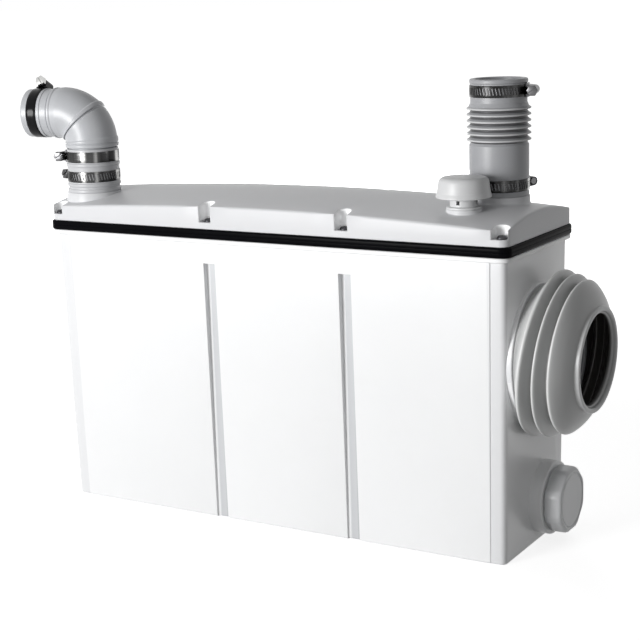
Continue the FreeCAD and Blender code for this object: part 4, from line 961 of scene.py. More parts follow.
sleeve_rings = boss(lid_work, SLEEVE_PLACE.xy, SLEEVE_BOSS, SLEEVE_BOSS_FILLET, SLEEVE_SEAT,
                    SLEEVE_BORE, (STUB_RADIUS, STUB_TOP))
vent_rings = boss(lid_work, VENT_PLACE.xy, VENT_BOSS, VENT_BOSS_FILLET, BOSS_TOP, VENT_BORE)
filled(lid_work, below, [sleeve_rings[0], vent_rings[0]], CROWN_PITCH, CROWN_MARGIN, crown)
pocket = rounded_plan(POCKET_X, POCKET_Y, POCKET_CORNER, LID_FOOT)
pocket_foot = [lid_work.verts.new(point) for point in pocket]
pocket_top = [lid_work.verts.new((x, y, crown(x, y) - LID_WALL)) for x, y, _ in pocket]
joined(lid_work, pocket_foot, pocket_top)
filled(lid_work, sole, [pocket_foot], None, 0, None)
filled(lid_work, pocket_top, [sleeve_rings[1], vent_rings[1]], CEILING_PITCH,
       CEILING_MARGIN, lambda x, y: crown(x, y) - LID_WALL)
bmesh.ops.recalc_face_normals(lid_work, faces=lid_work.faces)
lid_mesh = bpy.data.meshes.new("lid_cover")
lid_work.to_mesh(lid_mesh)
lid_work.free()
lid = shown("lid_cover", lid_mesh)
RISER_BOSS = [(0, 0.286, 0), (0.0272, 0.286, 0), (0.0272, 0.291, 0.004),
              (0.0258, BOSS_TOP, 0.0008), (0, BOSS_TOP, 0)]
RISER_BORE = 0.015
RISER_SEGMENTS = 72
riser_axis = Matrix.Translation(RISER_PLACE)
carved(lid, turned("riser_boss", RISER_BOSS, RISER_SEGMENTS, riser_axis), "UNION")
drilled(lid, "riser_hole", RISER_BORE, 0.26, 0.32, RISER_SEGMENTS, riser_axis)
LID_WHITE = moulded("lid_white_plastic", (0.67, 0.675, 0.69), 0.36, cloud=0.03, peel=0.04,
                    dust=0.04, sheen=0.3)
# Painted light: the flutes' walls are painted paler than the lid, against the shade in them
FLUTE_PAINTED_LIGHT = (0.95, 0.955, 0.96, 1)
FLUTE_SLACK = 0.0002
FLUTE_FOOT = LID_SEAT + 0.0003


def painted_flute_light(material):
    """Painted light: the walls of the flutes are painted paler than the lid, to lift the shade
    that falls in them.
    """
    shader, base = painted(material)
    across, deep, high = base.node("ShaderNodeSeparateXYZ", None, {
        0: base.place()}).parts("X", "Y", "Z")
    behind = base.maths("MAXIMUM", SCREW_Y - base.maths("ABSOLUTE", deep), 0.0)
    flute_light = None
    for flute_x, radius in FLUTES:
        beside = across - flute_x
        off = base.maths("SQRT", beside * beside + behind * behind)
        within = base.maths("LESS_THAN", off, radius + FLUTE_SLACK)
        flute_light = base.maths("MAXIMUM", flute_light, within) if flute_light else within
    flute_light = flute_light * base.maths("GREATER_THAN", high, FLUTE_FOOT)
    drives(flute_light.mixed(base, FLUTE_PAINTED_LIGHT), shader, "Base Color")


painted_flute_light(LID_WHITE)
lid.data.materials.append(LID_WHITE)
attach(lid, "station")
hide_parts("lid")


# Lid screws: eight zinc-plated pan-head screws with a cross recess, driven down the lid's
# flutes into the bosses of the tank. Each has stopped at its own angle.
MM = 0.001
SCREW_TURN_SEED = 7
SCREW_CROSS = ((0.45, 2.2), (0.45, 0.45), (2.2, 0.45), (2.2, -0.45), (0.45, -0.45),
               (0.45, -2.2), (-0.45, -2.2), (-0.45, -0.45), (-2.2, -0.45), (-2.2, 0.45),
               (-0.45, 0.45), (-0.45, 2.2))


def in_mm(rows):
    """Rows of numbers in millimetres, given in metres."""
    return [tuple(number * MM for number in row) for row in rows]


def prism(name, outline, levels, place, angle=SHARP_ANGLE):
    """The outline in millimetres at each level (height, scale), joined and closed."""
    rings = [[place @ (Vector((u * size, v * size, height)) * MM) for u, v in outline]
             for height, size in levels]
    return stacked(name, rings, angle)


def grown(name, start_points, wishes, build):
    """A mesh that Geometry Nodes grow from points. wishes are the tree's named inputs, as
    (name, kind, value), and build works out the geometry from their signals."""
    tree = bpy.data.node_groups.new(name, "GeometryNodeTree")
    tree.interface.new_socket("Geometry", in_out="INPUT", socket_type="NodeSocketGeometry")
    sockets = [tree.interface.new_socket(wish, in_out="INPUT", socket_type=kind)
               for wish, kind, _ in wishes]
    tree.interface.new_socket("Geometry", in_out="OUTPUT", socket_type="NodeSocketGeometry")
    start = tree.nodes.new("NodeGroupInput")
    signals = {socket.name: Signal(tree, socket) for socket in start.outputs if socket.name}
    end = tree.nodes.new("NodeGroupOutput")
    tree.links.new(build(Signal(tree), signals).socket, end.inputs[0])
    mesh = bpy.data.meshes.new(name)
    mesh.from_pydata([tuple(point) for point in start_points], [], [])
    carrier = shown(name, mesh)
    change = carrier.modifiers.new("grow", "NODES")
    change.node_group = tree
    for socket, (_, _, setting) in zip(sockets, wishes):
        change[socket.identifier] = setting
    view = bpy.context.evaluated_depsgraph_get()
    shape = bpy.data.meshes.new_from_object(carrier.evaluated_get(view))
    carrier.modifiers.clear()
    carrier.data = shape
    bpy.data.meshes.remove(mesh)
    shape.set_sharp_from_angle(angle=math.radians(SHARP_ANGLE))
    return carrier


METAL_GRAIN = 220.0
METAL_GRAIN_BUMP = 0.12
METAL_GRAIN_DEPTH = 0.0001
METAL_GRAIN_ROUGHNESS = 0.18
METAL_PATCHES = 60.0
METAL_DULLEST = 0.32
METAL_BRIGHTEST = 0.62
METAL_PATCH_ROUGHNESS = 0.12


def metal(name, colour, roughness, streak=(1, 1, 1), wear=0.0, shade=None):
    """Bare or plated metal: rolling or grinding lines along the streak, and dull patches. shade
    gives the colour from the place on the piece, where patches aren't what varies it."""
    material, shader = finish(name, colour, roughness)
    base = Signal(material.node_tree)
    shader.inputs["Metallic"].default_value = 1.0
    spot = base.place()
    along = base.node("ShaderNodeVectorMath", {"operation": "MULTIPLY"}, {0: spot, 1: streak})
    lines = base.node("ShaderNodeTexNoise", None, {
        "Vector": along, "Scale": METAL_GRAIN, "Detail": 3.0, "Roughness": 0.6})
    patches = base.node("ShaderNodeTexNoise", None, {
        "Vector": spot, "Scale": METAL_PATCHES, "Detail": 3.0})
    if shade:
        drives(shade(base, spot), shader, "Base Color")
    else:
        dull = tuple(c * (1 - wear) for c in colour) + (1,)
        drives(base.node("ShaderNodeValToRGB", {
            "stops": [(METAL_DULLEST, dull), (METAL_BRIGHTEST, (*colour, 1))]},
            {"Fac": patches}), shader, "Base Color")
    drives(lines * METAL_GRAIN_ROUGHNESS + patches * METAL_PATCH_ROUGHNESS
           + (roughness - METAL_PATCH_ROUGHNESS), shader, "Roughness")
    drives(base.node("ShaderNodeBump", None, {
        "Height": lines, "Strength": METAL_GRAIN_BUMP, "Distance": METAL_GRAIN_DEPTH}),
        shader, "Normal")
    return material


SCREW_ZINC = metal("screw_zinc", (0.07, 0.07, 0.075), 0.34, wear=0.5)
screws_low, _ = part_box("lid_screws")
screw_foot = (screws_low.z - LID_SEAT) / MM
one_screw = turned("one_screw", in_mm([
    (0, screw_foot, 0), (2, screw_foot, 0.8), (2, 0, 0.15), (4.5, 0, 0.25), (4.5, 1.1, 0.4),
    (3.3, 2.9, 1.4), (0, 3.2, 0)]), 28, Matrix.Identity(4))
carved(one_screw, prism("cross_recess", SCREW_CROSS, [(1.3, 0.5), (3.6, 1.1)],
                        Matrix.Identity(4)))


def screws_from(start, wish):
    """A screw on each point, turned by its own share of a quarter turn."""
    spin = start.node("FunctionNodeRandomValue", {"data_type": "FLOAT"}, {
        2: 0.0, 3: math.pi / 2, 8: wish["Seed"]}, 1)
    turn = start.node("FunctionNodeEulerToRotation", None, {
        0: start.node("ShaderNodeCombineXYZ", None, {2: spin})})
    pattern = start.node("GeometryNodeObjectInfo", None, {"Object": wish["Screw"]}, 4)
    rows = start.node("GeometryNodeInstanceOnPoints", None, {
        "Points": wish["Geometry"], "Instance": pattern, "Rotation": turn})
    real = start.node("GeometryNodeRealizeInstances", None, {"Geometry": rows})
    return start.node("GeometryNodeSetMaterial", None, {
        "Geometry": real, "Material": wish["Finish"]})


screw_spots = [(x, side * SCREW_Y, LID_SEAT) for x, _ in FLUTES for side in (-1, 1)]
screws = grown("cover_screws", screw_spots, [
    ("Screw", "NodeSocketObject", one_screw), ("Finish", "NodeSocketMaterial", SCREW_ZINC),
    ("Seed", "NodeSocketInt", SCREW_TURN_SEED)], screws_from)
bpy.data.objects.remove(one_screw)
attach(screws, "station")
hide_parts("lid_screws")


# Toilet inlet: a soft bellows of grey rubber stretched over the tank's collar. It has settled
# a little, so its folds lean and the upper ones stand further out. A ring holds its root.
INLET_FACE = 236
BELLOWS_SEGMENTS = 144
# x from the tank's middle, radius, how far the top leans outwards, extra radius at the top, and
# the painted light: above 0 a painted highlight on a crest, below 0 painted shade in a valley
# and inside
BELLOWS_LINE = [
    (236.0, 54.3, 0, 0, 0), (236.0, 57.5, 0, 0, 0), (236.4, 60.0, 0.3, 0, 0),
    (238.5, 62.0, 3.5, 0.5, 0), (242.3, 67.2, 7.7, 2.5, 0.7), (244.2, 69.8, 8.5, 3.6, 1),
    (245.6, 70.1, 8.7, 3.6, 1), (246.9, 69.0, 8.8, 3.5, 0.4), (248.6, 65.6, 8.4, 2.3, 0),
    (251.0, 60.0, 7.8, 0.8, -0.1), (252.6, 58.2, 7.5, 0.3, -0.5), (254.0, 60.2, 7.2, 0.5, 0),
    (255.3, 65.4, 6.8, 1.2, 0.6), (256.3, 68.3, 6.6, 1.6, 1), (257.5, 69.1, 6.5, 1.7, 1),
    (258.9, 68.0, 6.4, 1.6, 0.3), (260.8, 64.2, 6.0, 1.0, 0), (263.2, 58.6, 5.6, 0.4, -0.1),
    (264.8, 57.3, 5.3, 0.2, -0.5), (266.2, 59.2, 5.1, 0.3, 0), (267.4, 62.8, 4.8, 0.8, 0.7),
    (268.3, 64.9, 4.6, 1.0, 1), (269.6, 65.6, 4.5, 1.0, 1), (271.1, 64.8, 4.3, 1.0, 0.2),
    (274.2, 62.1, 4.0, 0.6, 0), (278.2, 57.4, 3.6, 0.2, 0), (281.4, 52.0, 3.1, 0, 0),
    (283.3, 47.4, 2.8, 0, -0.1), (284.2, 45.7, 2.6, 0, -0.2), (285.4, 45.5, 2.3, 0, 0),
    (287.2, 45.6, 1.8, 0, 0.3), (288.2, 44.9, 1.6, 0, 0.4), (288.4, 43.4, 1.6, 0, 0.2),
    (287.9, 41.6, 1.7, 0, 0), (286.6, 40.9, 1.9, 0, -0.1), (285.6, 40.6, 2.1, 0, -0.2),
    (285.0, 39.5, 2.3, 0, -0.3), (283.8, 39.1, 2.6, 0, -0.7), (282.3, 39.4, 3.0, 0, -1),
    (280.6, 41.6, 3.2, 0, -1), (279.0, 46.0, 3.3, 0, -1), (276.0, 52.4, 3.7, 0.2, -1),
    (272.6, 57.8, 4.1, 0.5, -1), (270.4, 60.6, 4.4, 0.8, -1), (269.2, 61.0, 4.6, 0.8, -1),
    (267.6, 58.6, 4.9, 0.5, -1), (265.8, 54.9, 5.1, 0.3, -1), (264.3, 53.9, 5.4, 0.2, -1),
    (262.2, 55.3, 5.7, 0.4, -1), (260.2, 60.5, 6.1, 1.0, -1), (258.7, 64.0, 6.3, 1.4, -1),
    (257.6, 64.8, 6.5, 1.4, -1), (256.4, 63.0, 6.7, 1.1, -1), (254.2, 57.0, 7.2, 0.5, -1),
    (252.2, 54.6, 7.6, 0.3, -1), (250.2, 56.3, 7.9, 0.6, -1), (247.4, 63.0, 8.4, 2.0, -1),
    (245.8, 65.7, 8.6, 2.8, -1), (244.8, 66.0, 8.5, 2.8, -1), (243.8, 64.2, 7.8, 2.0, -1),
    (240.6, 58.0, 3.8, 0.5, -1), (239.0, 55.2, 0.6, 0, -0.5), (237.5, 54.4, 0, 0, 0)]


def flowing(rows, steps=3):
    """A smooth closed line through rows of numbers."""
    fine = []
    count = len(rows)
    for number in range(count):
        four = [rows[(number + shift) % count] for shift in (-1, 0, 1, 2)]
        for step in range(steps):
            t = step / steps
            shares = (-0.5 * t ** 3 + t ** 2 - 0.5 * t, 1.5 * t ** 3 - 2.5 * t ** 2 + 1,
                      -1.5 * t ** 3 + 2 * t ** 2 + 0.5 * t, 0.5 * t ** 3 - 0.5 * t ** 2)
            fine.append(tuple(sum(share * row[place] for share, row in zip(shares, four))
                              for place in range(len(rows[0]))))
    return fine


bellows_rings = []
bellows_painted_lights = []
for x, radius, lean, rise, tone in flowing(BELLOWS_LINE):
    ring = []
    bellows_painted_lights += [tone] * BELLOWS_SEGMENTS
    for step in range(BELLOWS_SEGMENTS):
        turn = 2 * math.pi * step / BELLOWS_SEGMENTS
        high = math.cos(turn)
        out = radius + rise * ((1 + high) / 2) ** 2
        ring.append(((x + lean * high) * MM, out * math.sin(turn) * MM,
                     INLET_Z + out * high * MM))
    bellows_rings.append(ring)
bellows = looped("inlet_bellows", bellows_rings, 60)
BELLOWS_RUBBER = moulded("bellows_grey_rubber", (0.46, 0.465, 0.465), 0.36, cloud=0.10,
                         peel=0.08, dust=0.06)
# Painted highlight on the bellows' crests and painted shade in its valleys and inside
BELLOWS_PAINTED_HIGHLIGHT = (0.74, 0.745, 0.74, 1)
BELLOWS_PAINTED_SHADE = (0.10, 0.095, 0.09, 1)


def painted_crest_light(material, crest, within):
    """Painted highlight where the mesh's painted light is above 0, on the crests, and painted
    shade below it, in the valleys and inside.
    """
    shader, base = painted(material)
    tone = base.node("ShaderNodeAttribute", {"attribute_name": "tone"}, output="Fac")
    pale = base.maths("MAXIMUM", tone, 0.0).mixed(base, crest)
    dark = base.maths("MAXIMUM", tone * -1.0, 0.0).mixed(pale, within)
    drives(dark, shader, "Base Color")


painted_crest_light(BELLOWS_RUBBER, BELLOWS_PAINTED_HIGHLIGHT, BELLOWS_PAINTED_SHADE)
assert len(bellows_painted_lights) == len(bellows.data.vertices)
painted_light_layer = bellows.data.attributes.new("tone", "FLOAT", "POINT")
painted_light_layer.data.foreach_set("value", bellows_painted_lights)
bellows.data.materials.append(BELLOWS_RUBBER)
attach(bellows, "station")
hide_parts("toilet_bellows")

retainer = turned("bellows_ring", in_mm([
    (44.6, -6, 0.3), (47, -6, 0.4), (47, 20, 0.1), (50, 20, 0.6), (50, 22.5, 0.8),
    (44.6, 22.5, 0.6)]), 96, towards((INLET_FACE * MM, 0, INLET_Z), RIGHT))
FITTING_GREY = moulded("fitting_grey_plastic", (0.50, 0.51, 0.53), 0.34, cloud=0.04,
                       peel=0.04, dust=0.06)
retainer.data.materials.append(FITTING_GREY)
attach(retainer, "station")
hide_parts("bellows_retainer")


# Low inlet: a grey moulded screw cap with eight soft grip flats and a shallow dished end,
# screwed over the threaded spigot against a flat rubber washer.
LOW_CAP_SEGMENTS = 128
LOW_CAP_FLATS = 8
LOW_CAP_FLAT = 28.2
LOW_CAP_ROUND = 29.38
# x from the tank's middle, radius as a share of the grip's, or a plain radius
LOW_CAP_GRIP = [(242.6, 0.955), (243.0, 0.985), (243.8, 1.0), (250.0, 1.0), (255.0, 0.995),
                (256.6, 0.975), (257.6, 0.94), (258.0, 0.90)]
LOW_CAP_END = [(258.0, 25.4), (257.85, 24.9), (257.3, 24.6), (256.9, 24.2), (256.9, 23.7),
               (257.2, 23.3), (257.5, 22.9), (257.55, 22.0), (257.45, 16.0), (257.4, 8.0)]
LOW_CAP_ROOM = [(255.0, 0.01), (255.0, 23.6), (254.4, 24.4), (243.2, 24.4), (242.6, 24.9)]


def cap_ring(x, size, flats):
    """A ring of the cap at x: round, or with size as a share of the grip's flats."""
    ring = []
    share = math.pi / LOW_CAP_FLATS
    for step in range(LOW_CAP_SEGMENTS):
        turn = 2 * math.pi * step / LOW_CAP_SEGMENTS
        radius = size
        if flats:
            off = (turn + share) % (2 * share) - share
            radius = size * min(LOW_CAP_ROUND, LOW_CAP_FLAT / math.cos(off))
        ring.append(LOW_INLET + MM * Vector((x, radius * math.sin(turn),
                                             radius * math.cos(turn))))
    return ring


cap_rings = [cap_ring(x, size, True) for x, size in LOW_CAP_GRIP]
cap_rings += [cap_ring(x, size, False) for x, size in LOW_CAP_END]
cap_out_points, cap_out_faces = banded(cap_rings, False, True)
inner_rings = [cap_ring(x, size, False) for x, size in LOW_CAP_ROOM]
start = len(cap_out_points)
inner_points, inner_faces = banded(inner_rings, True, False)
cap_faces = cap_out_faces + [tuple(corner + start for corner in face) for face in inner_faces]
rim = start + (len(inner_rings) - 1) * LOW_CAP_SEGMENTS
for step in range(LOW_CAP_SEGMENTS):
    after = (step + 1) % LOW_CAP_SEGMENTS
    cap_faces.append((rim + step, rim + after, after, step))
low_cap = piece("low_cap", cap_out_points + inner_points, cap_faces, 30)
CAP_GREY = moulded("cap_grey_plastic", (0.66, 0.67, 0.68), 0.28, cloud=0.04, peel=0.05,
                   dust=0.04)
low_cap.data.materials.append(CAP_GREY)
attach(low_cap, "screw_cap")
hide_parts("low_inlet_cap")


# Top inlet: a grey rubber sleeve with six sharp overlapping folds and a plain cuff, pushed
# over the lid's stub and held by a hose clamp at each end.
SLEEVE_LOW = 304
SLEEVE_TOP = 403
SLEEVE_FOLDS = 6
SLEEVE_FOLD_FOOT = 351
SLEEVE_FOLD_PITCH = 5.3
sleeve_line = [(22.95, SLEEVE_LOW, 0.2), (25.5, SLEEVE_LOW, 0.5), (25.5, 347.2, 1.5)]
for number in range(SLEEVE_FOLDS):
    foot = SLEEVE_FOLD_FOOT + number * SLEEVE_FOLD_PITCH
    sleeve_line += [(24.1, foot - 1.5, 0.7), (25.0, foot - 0.3, 0.5), (27.6, foot + 0.1, 0.5),
                    (27.3, foot + 1.2, 0.5), (25.6, foot + 2.3, 0.8)]
sleeve_line += [(24.2, 383.2, 0.8), (24.2, 399.2, 0.3), (24.9, 399.8, 0.6),
                (24.9, SLEEVE_TOP, 1.3), (20.1, SLEEVE_TOP, 1.0),
                (20.1, SLEEVE_TOP - 2.5, 0.2), (20.4, 384.0, 1.0)]
for number in reversed(range(SLEEVE_FOLDS)):
    foot = SLEEVE_FOLD_FOOT + number * SLEEVE_FOLD_PITCH
    sleeve_line += [(22.4, foot + 2.6, 0.6), (24.6, foot + 1.4, 0.5), (22.4, foot - 0.2, 0.6)]
sleeve_line += [(22.95, 347.0, 0.6)]
sleeve = turned("waste_sleeve", in_mm(sleeve_line), 128, Matrix.Translation(SLEEVE_PLACE), 38)
SLEEVE_RUBBER = moulded("sleeve_grey_rubber", (0.35, 0.355, 0.37), 0.42, cloud=0.08,
                        peel=0.10, dust=0.05)
# Painted highlight on the sleeve's fold crests and painted shade in the gaps between the folds
SLEEVE_PAINTED_HIGHLIGHT = (0.56, 0.565, 0.57, 1)
SLEEVE_PAINTED_SHADE = (0.07, 0.07, 0.072, 1)
# radii where the painted highlight on the crests starts and is full, and where the painted shade
# in the gaps starts and is full
HIGHLIGHT_FROM = 26.4
HIGHLIGHT_FULL = 27.3
GAP_SHADE_FROM = 25.7
GAP_SHADE_FULL = 24.4
GAP_SHADE_LOW = SLEEVE_FOLD_FOOT - 1.7
GAP_SHADE_HIGH = SLEEVE_FOLD_FOOT + 27.5


def painted_fold_light(material, centre, crest, gap_shade):
    """Painted highlight on the crests of the folds, and painted shade in the gaps between them.
    """
    shader, base = painted(material)
    spot = base.place()
    high = base.node("ShaderNodeSeparateXYZ", None, {0: spot}, "Z")
    flat = base.node("ShaderNodeVectorMath", {"operation": "MULTIPLY"}, {
        0: base.node("ShaderNodeVectorMath", {"operation": "SUBTRACT"}, {0: spot, 1: centre}),
        1: (1, 1, 0)})
    out = base.node("ShaderNodeVectorMath", {"operation": "LENGTH"}, {0: flat}, "Value")
    crest_highlight = base.node("ShaderNodeMapRange", {"interpolation_type": "SMOOTHSTEP"}, {
        "Value": out, "From Min": HIGHLIGHT_FROM * MM, "From Max": HIGHLIGHT_FULL * MM})
    deep = base.node("ShaderNodeMapRange", {"interpolation_type": "SMOOTHSTEP"}, {
        "Value": out, "From Min": GAP_SHADE_FROM * MM, "From Max": GAP_SHADE_FULL * MM})
    deep = deep * base.maths("GREATER_THAN", high, GAP_SHADE_LOW * MM)
    deep = deep * base.maths("LESS_THAN", high, GAP_SHADE_HIGH * MM)
    drives(deep.mixed(crest_highlight.mixed(base, crest), gap_shade), shader, "Base Color")


painted_fold_light(SLEEVE_RUBBER, SLEEVE_PLACE, SLEEVE_PAINTED_HIGHLIGHT, SLEEVE_PAINTED_SHADE)
sleeve.data.materials.append(SLEEVE_RUBBER)
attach(sleeve, "station")
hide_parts("top_inlet_sleeve")


# Vent: a short slotted neck moulded in white, with a charcoal disc in it, under a mushroom
# cap that is a push fit on the neck.
VENT_FOOT = 299
VENT_CAP_FOOT = 307
vent_axis = Matrix.Translation(VENT_PLACE)
vent_neck = turned("vent_neck", in_mm([
    (8, VENT_FOOT, 0), (14.7, VENT_FOOT, 0.2), (14.7, VENT_FOOT + 2, 0.6),
    (11.7, VENT_FOOT + 2, 0.6), (11.7, VENT_FOOT + 14, 0.4), (8, VENT_FOOT + 14, 0.3)]),
    72, vent_axis)
slot_plan, _ = eased([(-30, -1.5, 0), (30, -1.5, 0), (30, 1.5, 0), (-30, 1.5, 0)])
for number in range(2):
    carved(vent_neck, prism("vent_slot_%d" % number, slot_plan, [(303, 1), (306.5, 1)],
                            vent_axis @ Matrix.Rotation(number * math.pi / 2, 4, "Z")))
VENT_WHITE = moulded("vent_white_plastic", (0.64, 0.645, 0.65), 0.42, cloud=0.02, peel=0.03,
                     dust=0.03)
vent_neck.data.materials.append(VENT_WHITE)
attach(vent_neck, "station")
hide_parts("vent_body")

vent_cap = turned("vent_mushroom", in_mm([(radius, VENT_CAP_FOOT + height, ease)
                                          for radius, height, ease in (
    (21.4, 1.4, 0.3), (23.5, 1.4, 0.6), (23.4, 3.0, 1.2), (22.5, 5.6, 2.4), (22.0, 9.5, 3.0),
    (20.8, 18.4, 4.4), (0, 18.5, 0), (0, 16.3, 0), (8, 16.3, 0), (8, 6, 0.2), (11.78, 6, 0),
    (11.78, 0, 0.3), (13.98, 0, 0.3), (13.98, 15.8, 0.5), (18.4, 15.4, 3.0), (19.7, 9.0, 2.5),
    (20.6, 5.0, 1.5))]), 96, vent_axis, 38)
vent_cap.data.materials.append(VENT_WHITE)
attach(vent_cap, "vent_lid")
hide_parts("vent_cap")


# Discharge coupling: a short pale rubber sleeve with moulded ribs that joins the riser's
# head to the elbow's tail, under two hose clamps.
coupling = turned("rubber_coupling", in_mm([
    (22.05, 299, 0.2), (25.0, 299, 0.4), (25.2, 299.5, 0.3), (25.2, 301.9, 0.8),
    (24.2, 302.5, 0.6), (24.2, 304.3, 0.6), (25.2, 304.9, 0.8), (25.2, 307.1, 0.8),
    (24.4, 307.9, 0.5), (24.4, 323.2, 0.4), (25.2, 323.9, 0.7), (25.2, 326.1, 0.7),
    (24.4, 326.8, 0.4), (24.4, 340, 0.6), (22.05, 340, 0.4)]), 96, riser_axis, 38)
COUPLING_RUBBER = moulded("coupling_pale_rubber", (0.53, 0.535, 0.55), 0.38, cloud=0.06,
                          peel=0.07, dust=0.06)
coupling.data.materials.append(COUPLING_RUBBER)
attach(coupling, "station")
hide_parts("coupling_sleeve")


# Elbow: a moulded quarter bend with beads at its foot, a parting ridge across the bend and a
# ringed branch. Its tail is pushed into the coupling, where it can be turned.
ELBOW_TURN = math.radians(12)
ELBOW_FOOT = 341
ELBOW_RISE = 5
ELBOW_BEND = 27
BEND_LENGTH = ELBOW_BEND * math.pi / 2
ELBOW_SEGMENTS = 96
ELBOW_PITCH = 1.6
BRANCH_FOOT = ELBOW_RISE + BEND_LENGTH
# length along the elbow's middle line from its foot, radius, and the ease of the corner
ELBOW_LINE = [
    (-20, 21.94, 0.5), (-0.02, 21.94, 0), (0, 24.0, 0.3), (0.4, 25.2, 0.4), (3.0, 25.3, 0.9),
    (3.8, 24.1, 0.5), (4.6, 25.2, 0.8), (6.8, 25.2, 0.8), (7.8, 24.3, 0.6),
    (23.2, 24.3, 0.4), (23.8, 23.5, 0.3), (24.5, 23.5, 0.3), (25.0, 25.5, 0.5),
    (27.0, 25.5, 0.7), (27.6, 24.5, 0.4), (31.5, 24.3, 3.0), (BRANCH_FOOT - 1, 24.3, 2.0),
    (BRANCH_FOOT + 4.6, 23.7, 1.0), (BRANCH_FOOT + 5.4, 24.2, 0.5),
    (BRANCH_FOOT + 7.6, 24.2, 0.5), (BRANCH_FOOT + 8.0, 22.2, 0.3),
    (BRANCH_FOOT + 8.8, 22.2, 0.3), (BRANCH_FOOT + 9.0, 22.8, 0.3),
    (BRANCH_FOOT + 15.6, 22.8, 0.3), (BRANCH_FOOT + 16.0, 23.4, 0.4),
    (BRANCH_FOOT + 18.0, 23.4, 0.4), (BRANCH_FOOT + 18.4, 22.8, 0.3),
    (BRANCH_FOOT + 36, 22.8, 1.2), (BRANCH_FOOT + 36, 17.6, 1.0),
    (BRANCH_FOOT + 34.5, 16.0, 0.5), (BRANCH_FOOT + 16, 16.0, 0.3),
    (BRANCH_FOOT + 15.4, 19.6, 0.3), (BRANCH_FOOT, 19.6, 0.5), (BRANCH_FOOT - 2, 21.1, 0.5),
    (2, 21.1, 0.5), (0, 19.54, 0.5), (-20, 19.54, 0.4)]


def on_elbow(length, radius, turn):
    """A point of the elbow's skin, in its own frame: foot on the Z axis, branch along -X."""
    if length < ELBOW_RISE:
        middle = Vector((0, 0, ELBOW_FOOT + length))
        across = Vector((1, 0, 0))
    elif length < BRANCH_FOOT:
        bent = (length - ELBOW_RISE) / ELBOW_BEND
        across = Vector((math.cos(bent), 0, math.sin(bent)))
        middle = Vector((-ELBOW_BEND, 0, ELBOW_FOOT + ELBOW_RISE)) + ELBOW_BEND * across
    else:
        across = Vector((0, 0, 1))
        middle = Vector((-ELBOW_BEND - (length - BRANCH_FOOT), 0,
                         ELBOW_FOOT + ELBOW_RISE + ELBOW_BEND))
    return middle + radius * (across * math.cos(turn) + Vector((0, math.sin(turn), 0)))


elbow_axis = riser_axis @ Matrix.Rotation(ELBOW_TURN, 4, "Z")
elbow_stations = []
line, _ = eased(ELBOW_LINE)
for number, spot in enumerate(line):
    following = line[(number + 1) % len(line)]
    parts = max(1, math.ceil(abs(following.x - spot.x) / ELBOW_PITCH))
    elbow_stations += [spot.lerp(following, part / parts) for part in range(parts)]
elbow_rings = [[elbow_axis @ (on_elbow(length, radius, 2 * math.pi * step / ELBOW_SEGMENTS) * MM)
                for step in range(ELBOW_SEGMENTS)] for length, radius in elbow_stations]
elbow = looped("discharge_bend", elbow_rings, 38)
elbow.data.materials.append(FITTING_GREY)
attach(elbow, "elbow")
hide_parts("discharge_elbow")


# Hose clamps: five stainless worm-drive clamps, the one at the elbow's mouth painted black.
# Each is a band with slanted slots, a pressed housing on it and a worm screw in the housing.
CLAMP_THICK = 0.7
CLAMP_WIDE = 10.0
CLAMP_CELLS = 54
BAND_BEVEL = 0.25
BAND_BEVEL_DEEP = 0.14
BAND_LEVELS = (0, BAND_BEVEL, 3.0, CLAMP_WIDE / 2, 7.0, CLAMP_WIDE - BAND_BEVEL, 10)
CELL_REACH = 1e-9
BAND_MERGE = 0.000005
SLOT_WIDE = 1.25
SLOT_LONG = 6.4
SLOT_SLANT = math.radians(12)
SLOT_STEPS = 4
# the housing: across the clamp and up from the band
ARCH_FIRST_FOOT = ((-0.9, 0.05), (-0.9, 0.9), (0.5, 1.0))
ARCH_OTHER_FOOT = ((9.5, 1.0), (10.9, 0.9), (10.9, 0.05), (8.3, 0.05))
ARCH_INNER_FOOT = ((1.7, 0.05),)
ARCH_OUTER = 3.95
ARCH_INNER = 3.12
ARCH_STEPS = 12
HOUSING_LONG = 15
HOUSING_STEPS = 8
SAG_FADE = 3
SAG_MOST = 0.9
# the worm: its axis above the band's inside, its thread and its slotted hex head
WORM_UP = 5.7
WORM_RADIUS = 3.0
WORM_SLACK = 0.02
WORM_PITCH = 2.9
WORM_LONG = 16.2
WORM_STEPS = 60
WORM_SEGMENTS = 24
WORM_REACH = 8.5
THREAD_END = 7.4
THREAD_DEPTH = 0.2
THREAD_SHARP = 1.5
HEAD_RADIUS = 5
HEAD_EASE = 0.35
HEAD_LEVELS = [(0, 0.92), (0.35, 1.0), (4.3, 1.0), (4.8, 0.93), (5.0, 0.84)]
HEAD_SLOT = [(-6, -0.6), (6, -0.6), (6, 0.6), (-6, 0.6)]
HEAD_SLOT_LEVELS = [(3.4, 1), (6, 1)]
HEAD_SLOT_TURN = 0.6


